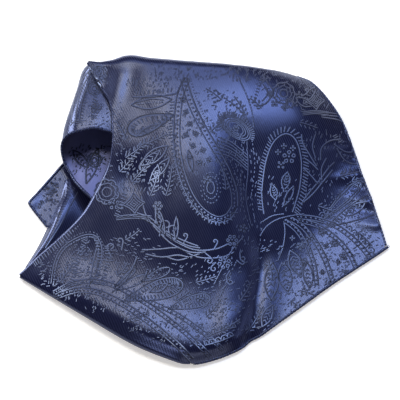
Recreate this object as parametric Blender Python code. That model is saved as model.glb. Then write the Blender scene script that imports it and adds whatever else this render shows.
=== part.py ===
"""A silk pocket square, folded over and dropped in a low heap.

The heap is one square of cloth. Each stretch that shows is a wall of its own: the
upper sheet, the curl at the left with its open mouth, the strip under the pointed
fold, and the tail, a corner that lies on the table. The hidden folds are one
layered solid, and a rolled hem runs along each cut edge that shows.

Places are read along a line of sight that looks down at 60 degrees: "across" is
to the right, "up" is up the view, and "high" is the height over the table.
All the sizes in the tables are in millimetres.
"""

import math

import bpy
from mathutils import Vector

# Driving sizes in millimetres, angles in radians
MILLIMETRE = 0.001
SIGHT_ANGLE = math.radians(60.0)
WALL = 1.0
SEAM_GAP = 0.35
HEM_RADIUS = 1.05
HEM_WIDTH = 2.0 * HEM_RADIUS + SEAM_GAP
HEM_SIDES = 8
HEAP_MIDDLE = Vector((-0.42, -2.28, 0.0))

# Front edge of the upper sheet, from the pointed fold by way of the front corner
# to the right corner
FRONT_EDGE = (
    # along, across, up
    (0.000, -127.5, -40.8),
    (0.040, -117.5, -46.8),
    (0.150, -86.0, -65.8),
    (0.300, -50.0, -87.0),
    (0.400, -22.0, -98.5),
    (0.450, -10.0, -102.0),
    (0.500, 4.5, -99.5),
    (0.580, 24.2, -91.6),
    (0.700, 54.2, -71.0),
    (0.850, 89.3, -46.1),
    (1.000, 126.0, -22.9),
)

# Back edge, where the sheet turns over and drops to the table
BACK_EDGE = (
    # along, across, up
    (0.00, -81.5, 105.5),
    (0.08, -69.0, 105.2),
    (0.19, -54.5, 109.2),
    (0.30, -38.0, 108.6),
    (0.45, -15.0, 107.0),
    (0.62, 9.0, 105.4),
    (0.80, 36.0, 103.4),
    (1.00, 65.5, 99.5),
)

# Left crest, from the pointed fold up to the flap and along the flap to its corner
LEFT_CREST = (
    # along, across, up
    (0.00, -127.5, -40.8),
    (0.10, -113.5, -28.5),
    (0.23, -97.0, -14.0),
    (0.36, -82.0, 2.0),
    (0.47, -73.0, 19.0),
    (0.56, -66.8, 34.0),
    (0.66, -63.8, 51.0),
    (0.75, -64.0, 66.0),
    (0.80, -65.5, 76.0),
    (0.87, -70.5, 86.0),
    (1.00, -81.5, 105.5),
)

# Right edge, from the right corner to the back, hemmed all along
RIGHT_EDGE = (
    # along, across, up
    (0.00, 126.0, -22.9),
    (0.12, 120.3, -6.0),
    (0.26, 114.9, 11.0),
    (0.40, 109.2, 26.5),
    (0.53, 104.2, 42.0),
    (0.66, 99.0, 57.5),
    (0.76, 93.6, 69.5),
    (0.86, 83.8, 83.5),
    (0.94, 73.8, 94.2),
    (1.00, 65.5, 99.5),
)

# Heights of the upper sheet on sections that run from its front to its back
SECTION_STOPS = (0.0, 0.05, 0.12, 0.20, 0.30, 0.42, 0.55, 0.68, 0.80, 0.90, 1.0)
SECTIONS = (
    # along, then the height at each stop
    (0.00, 4.2, 6.2, 9.0, 11.8, 15.0, 19.6, 25.2, 29.0, 29.5, 29.5, 29.0),
    (0.10, 6.5, 9.4, 10.2, 11.0, 13.8, 18.5, 24.2, 29.0, 30.4, 30.6, 30.6),
    (0.25, 7.5, 12.2, 12.6, 12.8, 15.4, 21.4, 27.4, 31.4, 32.6, 32.8, 32.4),
    (0.38, 6.2, 11.4, 11.9, 12.2, 14.4, 20.8, 27.2, 31.6, 33.0, 33.2, 32.4),
    (0.45, 3.4, 9.8, 10.9, 11.2, 13.2, 19.2, 25.8, 30.6, 32.4, 32.8, 32.0),
    (0.60, 2.8, 6.0, 7.8, 8.4, 10.2, 14.6, 19.8, 25.2, 29.4, 30.6, 30.2),
    (0.70, 2.4, 2.7, 3.2, 4.2, 6.8, 11.2, 16.4, 21.8, 26.6, 28.2, 28.2),
    (0.85, 2.2, 2.4, 2.6, 2.9, 3.6, 6.8, 11.4, 16.4, 20.6, 22.0, 22.0),
    (1.00, 1.7, 1.75, 1.8, 1.85, 1.9, 2.0, 2.4, 3.6, 5.8, 8.0, 9.5),
)

# Ridges and troughs laid over the sections
FOLDS = (
    # half width, then the line it follows: across, up and rise at each point
    (4.5, ((-63.0, 74.0, 1.0), (-60.0, 84.0, 2.0), (-57.0, 96.0, 1.6))),
    (5.0, ((-70.0, 88.0, -2.2), (-68.0, 98.0, -2.2))),
    (6.0, ((-50.0, 100.0, -1.6), (-54.0, 84.0, -0.8))),
    (12.0, ((-52.0, 26.0, -2.2), (-42.0, 20.0, -1.8))),
    (15.0, ((21.0, 66.0, -0.4), (25.0, 44.0, -2.6), (31.0, 12.0, -3.8), (38.0, -24.0, -2.2))),
    (5.5, ((38.0, -20.0, -0.8), (38.0, -38.0, -2.4), (31.0, -84.0, -2.6))),
    (8.0, ((17.0, -46.0, 1.0), (15.0, -80.0, 1.4))),
)

# How far the sheet's face stops short of each edge: a share of the fold's height,
# of the turn's radius or of the hem's width
FRONT_FOLD_INSET = 0.38
FRONT_HEM_INSET = 0.95
BACK_TURN_INSET = 0.5
CREST_TURN_INSET = 0.9
CORNER_INSET = 0.7
CORNER_REACH = 0.12

# How the folded edges of the upper sheet turn over and tuck under
FRONT_FOLD_END = 0.45
FRONT_HEM_FADE = 0.04
FRONT_TUCK = 4.0
FRONT_TUCK_LEAST = 0.25
FRONT_TUCK_GROWTH = 7.0
TURN_STEPS = 6
BACK_TUCK = 5.0
BACK_DROP_FULL = 0.16
BACK_DROP_LEAST = 0.04
BACK_CURLED_LEAST = 0.15
BACK_LOW_RADIUS = 3.0
BACK_TURN = (
    # along, radius of the turn
    (0.00, 1.6),
    (0.19, 9.0),
    (0.45, 9.0),
    (0.80, 7.0),
    (1.00, 4.5),
)
CREST_TURN = (
    # along, radius of the turn, length that runs on under the sheet
    (0.00, 1.7, 0.6),
    (0.20, 2.4, 4.5),
    (0.40, 2.8, 5.5),
    (0.55, 2.4, 4.0),
    (0.65, 1.4, 2.0),
    (0.80, 1.3, 1.5),
    (1.00, 1.3, 1.0),
)

# Where the upper sheet has its columns and rows of points
SHEET_COLUMNS = (
    0.0, 0.02, 0.045, 0.075, 0.11, 0.15, 0.19, 0.23, 0.27, 0.31, 0.35, 0.39,
    0.42, 0.45, 0.48, 0.51, 0.54, 0.57, 0.60, 0.63, 0.66, 0.69, 0.725, 0.765,
    0.81, 0.85, 0.89, 0.93, 0.965, 1.0,
)
SHEET_ROWS = (
    0.0, 0.025, 0.06, 0.10, 0.145, 0.19, 0.235, 0.28, 0.325, 0.37, 0.415, 0.46,
    0.505, 0.55, 0.60, 0.65, 0.70, 0.745, 0.79, 0.83, 0.87, 0.91, 0.94, 0.97,
    1.0,
)

# The curl: sections from the closed back to the mouth, seen as a C open to the
# right, and the line of the mouth's rim round each section
CURL_SECTIONS = (
    # along, back, leftmost across, width of the bend, top, underside
    (0.00, 104.0, -79.5, 7.0, 3.2, 0.0),
    (0.04, 103.6, -82.6, 7.0, 13.0, 0.0),
    (0.10, 102.4, -84.2, 8.0, 20.5, 0.0),
    (0.18, 99.0, -85.8, 9.0, 24.0, 0.0),
    (0.30, 92.0, -87.8, 10.5, 24.7, 0.6),
    (0.45, 84.0, -90.2, 11.0, 25.0, 1.4),
    (0.60, 76.0, -93.0, 11.0, 25.5, 1.6),
    (0.85, 63.0, -97.0, 11.0, 26.0, 1.6),
    (1.00, 54.0, -98.6, 11.0, 26.0, 1.6),
)
CURL_TOP_END = -62.0
CURL_FLOOR_END = -61.0
CURL_RIM = (
    # around the section, back of the closed end, back of the rim, extra height
    (0.00, 98.0, 53.0, -1.8),
    (0.15, 101.5, 56.0, -0.4),
    (0.30, 106.0, 54.0, -0.5),
    (0.40, 107.0, 51.5, -1.0),
    (0.50, 107.5, 47.0, 0.0),
    (0.58, 107.0, 40.0, 0.5),
    (0.64, 106.5, 33.0, 2.4),
    (0.70, 105.5, 24.0, 3.4),
    (0.85, 101.5, 8.0, 3.4),
    (1.00, 98.0, -6.0, 2.6),
)
# How the curl's floor rises towards the mouth: by how much, and from where to where
# around the section and along the curl it rises
CURL_FLOOR_LIFT = 5.8
CURL_LIFT_AROUND = (0.60, 0.80)
CURL_LIFT_TRAVEL = (0.05, 0.55)
CURL_COLUMNS = (0.0, 0.04, 0.10, 0.18, 0.28, 0.40, 0.52, 0.64, 0.74, 0.82, 0.89, 0.95, 1.0)
CURL_TOP_SHARE = 0.30
CURL_BEND_SHARE = 0.40
CURL_TOP_STEPS = 5
CURL_BEND_STEPS = 10
CURL_FLOOR_STEPS = 6

# The strip: its edge on the table, its ridge and its inner edge under the crest
STRIP_SECTIONS = (
    # along, edge across, edge back, edge high, ridge across, ridge back, ridge
    # high, inner across, inner back, inner high
    (0.00, -96.5, 26.0, 2.6, -91.0, 27.0, 2.8, -70.0, 19.0, 2.5),
    (0.18, -98.5, 12.5, 2.6, -93.0, 13.0, 5.2, -68.0, 2.0, 2.4),
    (0.42, -103.6, 0.5, 2.4, -97.0, 0.5, 7.4, -70.0, -14.0, 2.6),
    (0.65, -108.8, -13.5, 1.6, -102.5, -15.0, 7.6, -82.0, -26.0, 3.0),
    (0.84, -115.1, -28.0, 1.5, -109.5, -28.5, 6.2, -98.0, -35.0, 3.0),
    (1.00, -122.6, -42.0, 1.4, -119.5, -41.0, 3.0, -117.5, -41.5, 1.8),
)
STRIP_RIDGE_SHARE = 0.45
STRIP_COLUMNS = 13
STRIP_ROWS = 9

# The tail: the corners of the cloth's corner that lies on the table
TAIL_TIP = Vector((-119.1, 8.4))
TAIL_FRONT = Vector((-94.6, -26.7))
TAIL_BACK = Vector((-78.0, 63.0))
TAIL_FAR = Vector((-66.0, 32.0))
TAIL_TIP_RISE = 1.2
TAIL_TIP_REACH = 0.12
TAIL_CROWDING = 1.3
TAIL_COLUMNS = 9
TAIL_ROWS = 9

# The hidden folds: where they stop under the upper sheet, and their layers
UNDER_LEFT = (
    # from the front to the back, along
    (0.00, 0.040),
    (0.10, 0.055),
    (0.22, 0.085),
    (0.30, 0.106),
    (0.38, 0.112),
    (0.50, 0.068),
    (0.60, 0.047),
    (0.70, 0.038),
    (0.80, 0.040),
    (0.90, 0.090),
    (1.00, 0.140),
)
UNDER_RIGHT = 0.925
UNDER_FRONT = 0.06
UNDER_BACK = 0.92
UNDER_CLEARANCE = 2.5
UNDER_LEAST_HIGH = 0.7
UNDER_COLUMNS = 22
UNDER_ROWS = 16
UNDER_LAYERS = 3
UNDER_BULGE = 1.4
UNDER_BULGE_FULL_HIGH = 12.0

# Where the hems start and stop
HEM_START_SHARE = 0.4
HEM_RIGHT_BEHIND = 8
TAIL_HEM_FRONT = 4
TAIL_HEM_BACK = 6


def table_row(table, along):
    """Values of a table's columns at a place along it, on a smooth curve."""
    last = len(table) - 1
    index = 0
    while index < last - 1 and along > table[index + 1][0]:
        index += 1
    start, end = table[index], table[index + 1]
    before = table[max(index - 1, 0)]
    after = table[min(index + 2, last)]
    span = end[0] - start[0]
    step = (along - start[0]) / span
    values = []
    for column in range(1, len(start)):
        slope_in = (end[column] - before[column]) / (end[0] - before[0]) * span
        slope_out = (after[column] - start[column]) / (after[0] - start[0]) * span
        values.append(
            (2 * step ** 3 - 3 * step ** 2 + 1) * start[column]
            + (step ** 3 - 2 * step ** 2 + step) * slope_in
            + (3 * step ** 2 - 2 * step ** 3) * end[column]
            + (step ** 3 - step ** 2) * slope_out
        )
    return values


def place(where, high):
    """The point of a line of sight at a height over the table."""
    back = (where.y - high * math.cos(SIGHT_ANGLE)) / math.sin(SIGHT_ANGLE)
    return Vector((where.x, back, high))


def inset(table, along, distance):
    """A place on an edge, moved to the left of its run by a distance."""
    before = table_row(table, max(along - 0.004, 0.0))
    after = table_row(table, min(along + 0.004, 1.0))
    run = Vector((after[0] - before[0], after[1] - before[1])).normalized()
    across, up = table_row(table, along)
    return Vector((across - run.y * distance, up + run.x * distance))


def front_line(along):
    """Where the sheet's face ends in front: its fold, then its hem."""
    fold = FRONT_FOLD_INSET * table_row(SECTIONS, along)[0]
    hemmed = min(max((along - FRONT_FOLD_END) / FRONT_HEM_FADE + 1.0, 0.0), 1.0)
    hem = FRONT_HEM_INSET * HEM_WIDTH
    return inset(FRONT_EDGE, along, fold + (hem - fold) * hemmed)


def back_line(along):
    """Where the sheet's face ends at the back, before it turns over."""
    return inset(BACK_EDGE, along, -BACK_TURN_INSET * table_row(BACK_TURN, along)[0])


def left_line(along):
    """Where the sheet's face ends at the left, before the crest turns over."""
    return inset(LEFT_CREST, along, -CREST_TURN_INSET * table_row(CREST_TURN, along)[0])


def right_line(along):
    """Where the sheet's face ends at the right, at its hem."""
    return inset(RIGHT_EDGE, along, HEM_WIDTH)


def meeting_place(one, one_end, other, other_end, corner):
    """The corner where two inset lines meet."""
    return one(one_end) + other(other_end) - Vector(corner[1:])


CORNER_LEFT_FRONT = meeting_place(front_line, 0.0, left_line, 0.0, FRONT_EDGE[0])
CORNER_RIGHT_FRONT = meeting_place(front_line, 1.0, right_line, 0.0, FRONT_EDGE[-1])
CORNER_LEFT_BACK = meeting_place(back_line, 0.0, left_line, 1.0, BACK_EDGE[0])
CORNER_RIGHT_BACK = back_line(1.0) - Vector((CORNER_INSET, CORNER_INSET)) * HEM_WIDTH


def line_between(line, along, first, last):
    """A line of the sheet, drawn to the corners at its two ends."""
    near_first = max(1.0 - along / CORNER_REACH, 0.0) ** 2
    near_last = max(1.0 - (1.0 - along) / CORNER_REACH, 0.0) ** 2
    where = line(along)
    where += (first - line(0.0)) * near_first
    where += (last - line(1.0)) * near_last
    return where


def sheet_height(to_right, to_back, where):
    """Height of the upper sheet: its sections, with the folds laid over them."""
    profile = list(zip(SECTION_STOPS, table_row(SECTIONS, to_right)))
    height = table_row(profile, to_back)[0]
    for half_width, line in FOLDS:
        nearest = None
        for (across, up, rise), (to_across, to_up, to_rise) in zip(line, line[1:]):
            run_across, run_up = to_across - across, to_up - up
            away_across, away_up = where.x - across, where.y - up
            part = away_across * run_across + away_up * run_up
            part = min(max(part / (run_across ** 2 + run_up ** 2), 0.0), 1.0)
            away = math.hypot(away_across - run_across * part, away_up - run_up * part)
            if nearest is None or away < nearest:
                nearest = away
                rise_there = rise + (to_rise - rise) * part
        height += rise_there * math.exp(-((nearest / half_width) ** 2))
    return height


def sheet_point(to_right, to_back):
    """A point of the upper sheet, which is stretched between its four lines."""
    front = line_between(front_line, to_right, CORNER_LEFT_FRONT, CORNER_RIGHT_FRONT)
    back = line_between(back_line, to_right, CORNER_LEFT_BACK, CORNER_RIGHT_BACK)
    left = line_between(left_line, to_back, CORNER_LEFT_FRONT, CORNER_LEFT_BACK)
    right = line_between(right_line, to_back, CORNER_RIGHT_FRONT, CORNER_RIGHT_BACK)
    where = front.lerp(back, to_back) + left.lerp(right, to_right)
    corners_front = CORNER_LEFT_FRONT.lerp(CORNER_RIGHT_FRONT, to_right)
    corners_back = CORNER_LEFT_BACK.lerp(CORNER_RIGHT_BACK, to_right)
    where -= corners_front.lerp(corners_back, to_back)
    return place(where, sheet_height(to_right, to_back, where))


def leaving(point, neighbour, along_edge):
    """Level direction and slope in which a face leaves over its edge."""
    inward = neighbour - point
    inward -= along_edge * inward.dot(along_edge) / along_edge.length_squared
    away = -inward.normalized()
    level = Vector((away.x, away.y, 0.0)).normalized()
    return level, math.atan2(away.z, away.dot(level))


def turn_down(start, level, slope, radius, turn, steps):
    """Points on an arc that leaves at a slope and bends down by an angle."""
    points = []
    for step in range(1, steps + 1):
        heading = slope - turn * step / steps
        reach = radius * (math.sin(slope) - math.sin(heading))
        fall = radius * (math.cos(slope) - math.cos(heading))
        points.append(start + level * reach - Vector((0.0, 0.0, fall)))
    return points


def drop_to_table(start, level, slope, radius, tuck, share):
    """A fold that turns over, drops a share of the way to the table and tucks
    back under."""
    curled = max(share ** 2, BACK_CURLED_LEAST)
    low_radius = min(BACK_LOW_RADIUS, 0.45 * start.z) * curled
    lean = max(math.cos(slope), 0.4)
    radius = min(radius, (start.z - low_radius - 0.2) / lean)
    points = turn_down(start, level, slope, radius, slope + math.pi / 2, TURN_STEPS)
    foot = points[-1].copy()
    foot.z += (low_radius - foot.z) * share
    points.append(foot)
    points += turn_down(foot, level, -math.pi / 2, low_radius, math.pi / 2, TURN_STEPS // 2)
    points.append(points[-1] - level * tuck * curled)
    return points


def upper_sheet_net():
    """Points and cells of the upper sheet, with the folds at its edges."""
    points = {}
    last_column = len(SHEET_COLUMNS) - 1
    last_row = len(SHEET_ROWS) - 1
    for column, to_right in enumerate(SHEET_COLUMNS):
        for row, to_back in enumerate(SHEET_ROWS):
            points[column, row] = sheet_point(to_right, to_back)

    for column, to_right in enumerate(SHEET_COLUMNS):
        edge = points[column, last_row]
        side = points[min(column + 1, last_column), last_row]
        side = side - points[max(column - 1, 0), last_row]
        level, slope = leaving(edge, points[column, last_row - 1], side)
        radius = table_row(BACK_TURN, to_right)[0]
        share = min(max(to_right / BACK_DROP_FULL, BACK_DROP_LEAST), 1.0)
        turned = drop_to_table(edge, level, slope, radius, BACK_TUCK, share)
        for step, point in enumerate(turned):
            points[column, last_row + 1 + step] = point

        if to_right <= FRONT_FOLD_END:
            edge = points[column, 0]
            side = points[column + 1, 0] - points[max(column - 1, 0), 0]
            level, slope = leaving(edge, points[column, 1], side)
            from_end = min(to_right, FRONT_FOLD_END - to_right)
            share = min(FRONT_TUCK_LEAST + FRONT_TUCK_GROWTH * from_end, 1.0)
            lean = 1.0 + math.cos(slope)
            turned = turn_down(edge, level, slope, edge.z / lean, slope + math.pi, TURN_STEPS)
            turned.append(turned[-1] - level * FRONT_TUCK * share)
            for step, point in enumerate(turned):
                points[column, -1 - step] = point

    for row, to_back in enumerate(SHEET_ROWS):
        edge = points[0, row]
        side = points[0, min(row + 1, last_row)] - points[0, max(row - 1, 0)]
        level, slope = leaving(edge, points[1, row], side)
        radius, run_on = table_row(CREST_TURN, to_back)
        turned = turn_down(edge, level, slope, radius, math.pi + slope, TURN_STEPS)
        turned.append(turned[-1] - level * run_on)
        for step, point in enumerate(turned):
            points[-1 - step, row] = point

    cells = []
    for column, row in points:
        cell = ((column, row), (column + 1, row), (column + 1, row + 1), (column, row + 1))
        if all(corner in points for corner in cell):
            cells.append(cell)
    return points, cells


def soft_step(value, start, end):
    """From 0 at one value to 1 at another, without a corner."""
    part = min(max((value - start) / (end - start), 0.0), 1.0)
    return part * part * (3.0 - 2.0 * part)


def curl_point(along, around):
    """A point of the curl, from its closed back to its mouth."""
    back, leftmost, bend, top, underside = table_row(CURL_SECTIONS, along)
    closed_back, rim_back, rise = table_row(CURL_RIM, around)
    if around < CURL_TOP_SHARE:
        across = CURL_TOP_END + (leftmost + bend - CURL_TOP_END) * around / CURL_TOP_SHARE
        high = top
    elif around < CURL_TOP_SHARE + CURL_BEND_SHARE:
        angle = math.pi * (around - CURL_TOP_SHARE) / CURL_BEND_SHARE
        across = leftmost + bend * (1.0 - math.sin(angle))
        high = (top + underside) / 2 + (top - underside) / 2 * math.cos(angle)
    else:
        part = (around - CURL_TOP_SHARE - CURL_BEND_SHARE) / CURL_TOP_SHARE
        across = leftmost + bend + (CURL_FLOOR_END - leftmost - bend) * part
        high = underside
    start = CURL_SECTIONS[0][1]
    end = CURL_SECTIONS[-1][1]
    travel = (start - back) / (start - end)
    stretch = closed_back + (rim_back - closed_back) * travel
    lift = CURL_FLOOR_LIFT * soft_step(around, *CURL_LIFT_AROUND) * soft_step(travel, *CURL_LIFT_TRAVEL)
    stretch -= lift * math.cos(SIGHT_ANGLE) / math.sin(SIGHT_ANGLE)
    return Vector((across, stretch, high + rise * max(travel, 0.0) ** 4 + lift))


def curl_net():
    """Points and cells of the curl."""
    bends = CURL_TOP_SHARE + CURL_BEND_SHARE
    around = [CURL_TOP_SHARE * step / CURL_TOP_STEPS for step in range(CURL_TOP_STEPS)]
    around += [
        CURL_TOP_SHARE + CURL_BEND_SHARE * step / CURL_BEND_STEPS
        for step in range(CURL_BEND_STEPS)
    ]
    around += [
        bends + (1.0 - bends) * step / CURL_FLOOR_STEPS
        for step in range(CURL_FLOOR_STEPS + 1)
    ]
    points = {}
    for column, place_around in enumerate(around):
        for row, along in enumerate(CURL_COLUMNS):
            points[column, row] = curl_point(along, place_around)
    cells = []
    for column in range(len(around) - 1):
        for row in range(len(CURL_COLUMNS) - 1):
            cells.append(((column, row), (column + 1, row), (column + 1, row + 1), (column, row + 1)))
    return points, cells


def strip_point(along, inward):
    """A point of the strip, from its edge over its ridge to the crest."""
    row = table_row(STRIP_SECTIONS, along)
    profile = (
        (0.0, row[0], row[1], row[2]),
        (STRIP_RIDGE_SHARE, row[3], row[4], row[5]),
        (1.0, row[6], row[7], row[8]),
    )
    across, back, high = table_row(profile, inward)
    return Vector((across, back, high))


def strip_net():
    """Points and cells of the strip."""
    points = {}
    for column in range(STRIP_COLUMNS):
        for row in range(STRIP_ROWS):
            along = column / (STRIP_COLUMNS - 1)
            points[column, row] = strip_point(along, row / (STRIP_ROWS - 1))
    cells = []
    for column in range(STRIP_COLUMNS - 1):
        for row in range(STRIP_ROWS - 1):
            cells.append(((column, row), (column + 1, row), (column + 1, row + 1), (column, row + 1)))
    return points, cells


def tail_point(to_front, to_back):
    """A point of the tail, whose tip is lifted a little off the table."""
    near = TAIL_TIP.lerp(TAIL_FRONT, to_front)
    far = TAIL_BACK.lerp(TAIL_FAR, to_front)
    where = near.lerp(far, to_back)
    reach = math.hypot(to_front, to_back)
    rise = TAIL_TIP_RISE * math.exp(-((reach / TAIL_TIP_REACH) ** 2))
    return Vector((where.x, where.y, WALL + rise))


def tail_net():
    """Points and cells of the tail."""
    points = {}
    for column in range(TAIL_COLUMNS):
        for row in range(TAIL_ROWS):
            to_front = (column / (TAIL_COLUMNS - 1)) ** TAIL_CROWDING
            to_back = (row / (TAIL_ROWS - 1)) ** TAIL_CROWDING
            points[column, row] = tail_point(to_front, to_back)
    cells = []
    for column in range(TAIL_COLUMNS - 1):
        for row in range(TAIL_ROWS - 1):
            cells.append(((column, row), (column + 1, row), (column + 1, row + 1), (column, row + 1)))
    return points, cells


def wall_mesh(net):
    """A closed wall under a net of cells whose faces look outwards."""
    points, cells = net
    names = sorted({corner for cell in cells for corner in cell})
    index = {name: number for number, name in enumerate(names)}
    normals = {name: Vector() for name in names}
    for cell in cells:
        first, second, third, fourth = (points[name] for name in cell)
        normal = (third - first).cross(fourth - second)
        if normal.length > 0.0:
            normal.normalize()
        for name in cell:
            normals[name] += normal
    outer = [points[name] for name in names]
    inner = [points[name] - normals[name].normalized() * WALL for name in names]
    count = len(names)
    faces = []
    edges = set()
    for cell in cells:
        numbers = [index[name] for name in cell]
        faces.append(numbers)
        faces.append([number + count for number in reversed(numbers)])
        for step in range(4):
            edges.add((numbers[step], numbers[(step + 1) % 4]))
    for start, end in sorted(edges):
        if (end, start) not in edges:
            faces.append([end, start, start + count, end + count])
    return outer + inner, faces


def under_layers_mesh():
    """The hidden folds: a rounded top, a layered rim and a flat underside."""
    points = {}
    for column in range(UNDER_COLUMNS):
        for row in range(UNDER_ROWS):
            to_back = UNDER_FRONT + (UNDER_BACK - UNDER_FRONT) * row / (UNDER_ROWS - 1)
            left = table_row(UNDER_LEFT, to_back)[0]
            to_right = left + (UNDER_RIGHT - left) * column / (UNDER_COLUMNS - 1)
            point = sheet_point(to_right, to_back)
            point.z = max(point.z - UNDER_CLEARANCE, UNDER_LEAST_HIGH)
            points[column, row] = point
    rim = [(column, 0) for column in range(UNDER_COLUMNS - 1)]
    rim += [(UNDER_COLUMNS - 1, row) for row in range(UNDER_ROWS - 1)]
    rim += [(column, UNDER_ROWS - 1) for column in range(UNDER_COLUMNS - 1, 0, -1)]
    rim += [(0, row) for row in range(UNDER_ROWS - 1, 0, -1)]
    names = sorted(points)
    index = {name: number for number, name in enumerate(names)}
    vertices = [points[name] for name in names]
    faces = []
    for column in range(UNDER_COLUMNS - 1):
        for row in range(UNDER_ROWS - 1):
            corners = ((column, row), (column + 1, row), (column + 1, row + 1), (column, row + 1))
            faces.append([index[corner] for corner in corners])
    ring = [index[name] for name in rim]
    levels = 2 * UNDER_LAYERS
    for level in range(1, levels + 1):
        next_ring = []
        for number, name in enumerate(rim):
            before = points[rim[number - 1]]
            after = points[rim[(number + 1) % len(rim)]]
            run = after - before
            outward = Vector((run.y, -run.x, 0.0)).normalized()
            bulge = UNDER_BULGE if level % 2 else 0.0
            bulge *= min(points[name].z / UNDER_BULGE_FULL_HIGH, 1.0)
            point = points[name] + outward * bulge
            point.z = points[name].z * (1.0 - level / levels)
            next_ring.append(len(vertices))
            vertices.append(point)
        for number in range(len(ring)):
            follow = (number + 1) % len(ring)
            faces.append([ring[follow], ring[number], next_ring[number], next_ring[follow]])
        ring = next_ring
    faces.append(list(reversed(ring)))
    return vertices, faces


def hem_mesh(route):
    """A rolled hem: a round closed tube along a route."""
    vertices = []
    side = (route[1] - route[0]).cross(Vector((0.0, 0.0, 1.0)))
    for number, point in enumerate(route):
        before = route[max(number - 1, 0)]
        after = route[min(number + 1, len(route) - 1)]
        run = (after - before).normalized()
        side = (side - run * side.dot(run)).normalized()
        lift = side.cross(run)
        for step in range(HEM_SIDES):
            angle = 2 * math.pi * (step + 0.5) / HEM_SIDES
            spoke = side * math.cos(angle) + lift * math.sin(angle)
            vertices.append(point + spoke * HEM_RADIUS)
    faces = [list(range(HEM_SIDES))]
    for number in range(len(route) - 1):
        start = number * HEM_SIDES
        for step in range(HEM_SIDES):
            follow = (step + 1) % HEM_SIDES
            near = [start + follow, start + step]
            faces.append(near + [start + HEM_SIDES + step, start + HEM_SIDES + follow])
    end = (len(route) - 1) * HEM_SIDES
    faces.append([end + step for step in reversed(range(HEM_SIDES))])
    return vertices, faces


def hem_beside(edge, inner):
    """The route of a hem that lies a seam gap beyond the edge of a wall.

    The edge is walked so that the run crossed with the outward direction gives the
    wall's outer side.
    """
    route = []
    for number, point in enumerate(edge):
        before = edge[max(number - 1, 0)]
        after = edge[min(number + 1, len(edge) - 1)]
        run = (after - before).normalized()
        outward = point - inner[number]
        outward = (outward - run * outward.dot(run)).normalized()
        centre = point + outward * (SEAM_GAP + HEM_RADIUS) - run.cross(outward) * WALL / 2
        centre.z = max(centre.z, HEM_RADIUS)
        route.append(centre)
    return route


def hem_front_route(points):
    """Along the upper sheet's front, from the right corner to the front corner."""
    first = SHEET_COLUMNS.index(FRONT_FOLD_END)
    columns = range(len(SHEET_COLUMNS) - 1, first, -1)
    edge = [points[column, 0] for column in columns]
    inner = [points[column, 1] for column in columns]
    edge.append(points[first, 0].lerp(points[first + 1, 0], HEM_START_SHARE))
    inner.append(points[first, 1].lerp(points[first + 1, 1], HEM_START_SHARE))
    route = hem_beside(edge, inner)
    past_corner = (route[0] - route[1]).normalized() * HEM_WIDTH
    return [route[0] + past_corner] + route


def hem_right_route(points):
    """From the table behind the heap over the back and along the right edge."""
    last = len(SHEET_COLUMNS) - 1
    rows = range(len(SHEET_ROWS) + HEM_RIGHT_BEHIND - 1, 0, -1)
    edge = [points[last, row] for row in rows]
    inner = [points[last - 1, row] for row in rows]
    edge.append(points[last, 0].lerp(points[last, 1], HEM_START_SHARE))
    inner.append(points[last - 1, 0].lerp(points[last - 1, 1], HEM_START_SHARE))
    return hem_beside(edge, inner)


def hem_curl_route(points):
    """Round the mouth of the curl, from its top to the table."""
    last = len(CURL_COLUMNS) - 1
    columns = range(CURL_TOP_STEPS + CURL_BEND_STEPS + CURL_FLOOR_STEPS + 1)
    edge = [points[column, last] for column in columns]
    inner = [points[column, last - 1] for column in columns]
    return hem_beside(edge, inner)


def hem_tail_route(points):
    """Round the tip of the tail, as far as the strip and the curl."""
    to_front = [(column, 0) for column in range(TAIL_HEM_FRONT, 0, -1)]
    to_back = [(0, row) for row in range(1, TAIL_HEM_BACK + 1)]
    edge = [points[name] for name in to_front + [(0, 0)] + to_back]
    inner = [points[column, 1] for column, row in to_front]
    inner.append(points[1, 1])
    inner += [points[1, row] for column, row in to_back]
    return hem_beside(edge, inner)


def material(name, colour, roughness, metallic):
    """A plain material with a colour, a roughness and a metallic value."""
    made = bpy.data.materials.new(name)
    made.use_nodes = True
    shader = made.node_tree.nodes["Principled BSDF"]
    shader.inputs["Base Color"].default_value = (*colour, 1.0)
    shader.inputs["Roughness"].default_value = roughness
    shader.inputs["Metallic"].default_value = metallic
    made.diffuse_color = (*colour, 1.0)
    return made


def add_piece(name, mesh_parts, finish):
    """One named object, in metres, standing on the heap's middle."""
    vertices, faces = mesh_parts
    mesh = bpy.data.meshes.new(name)
    placed = [(vertex - HEAP_MIDDLE) * MILLIMETRE for vertex in vertices]
    mesh.from_pydata(placed, [], faces)
    mesh.validate()
    mesh.shade_smooth()
    mesh.set_sharp_from_angle(angle=math.radians(50.0))
    mesh.materials.append(finish)
    piece = bpy.data.objects.new(name, mesh)
    bpy.context.scene.collection.objects.link(piece)
    return piece


for old in list(bpy.data.objects):
    bpy.data.objects.remove(old, do_unlink=True)

satin = material("navy_satin", (0.030, 0.038, 0.115), 0.38, 0.25)
satin_hidden = material("navy_satin_inside", (0.022, 0.028, 0.085), 0.5, 0.1)
hem_silk = material("navy_hem", (0.016, 0.018, 0.055), 0.5, 0.0)

sheet = upper_sheet_net()
curl = curl_net()
tail = tail_net()

add_piece("upper_sheet", wall_mesh(sheet), satin)
add_piece("curl", wall_mesh(curl), satin)
add_piece("strip", wall_mesh(strip_net()), satin)
add_piece("tail", wall_mesh(tail), satin)
add_piece("under_layers", under_layers_mesh(), satin_hidden)
add_piece("hem_front", hem_mesh(hem_front_route(sheet[0])), hem_silk)
add_piece("hem_right", hem_mesh(hem_right_route(sheet[0])), hem_silk)
add_piece("hem_curl", hem_mesh(hem_curl_route(curl[0])), hem_silk)
add_piece("hem_tail", hem_mesh(hem_tail_route(tail[0])), hem_silk)
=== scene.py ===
import math
import random

import bpy
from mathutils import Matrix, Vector
from mathutils.bvhtree import BVHTree


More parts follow.
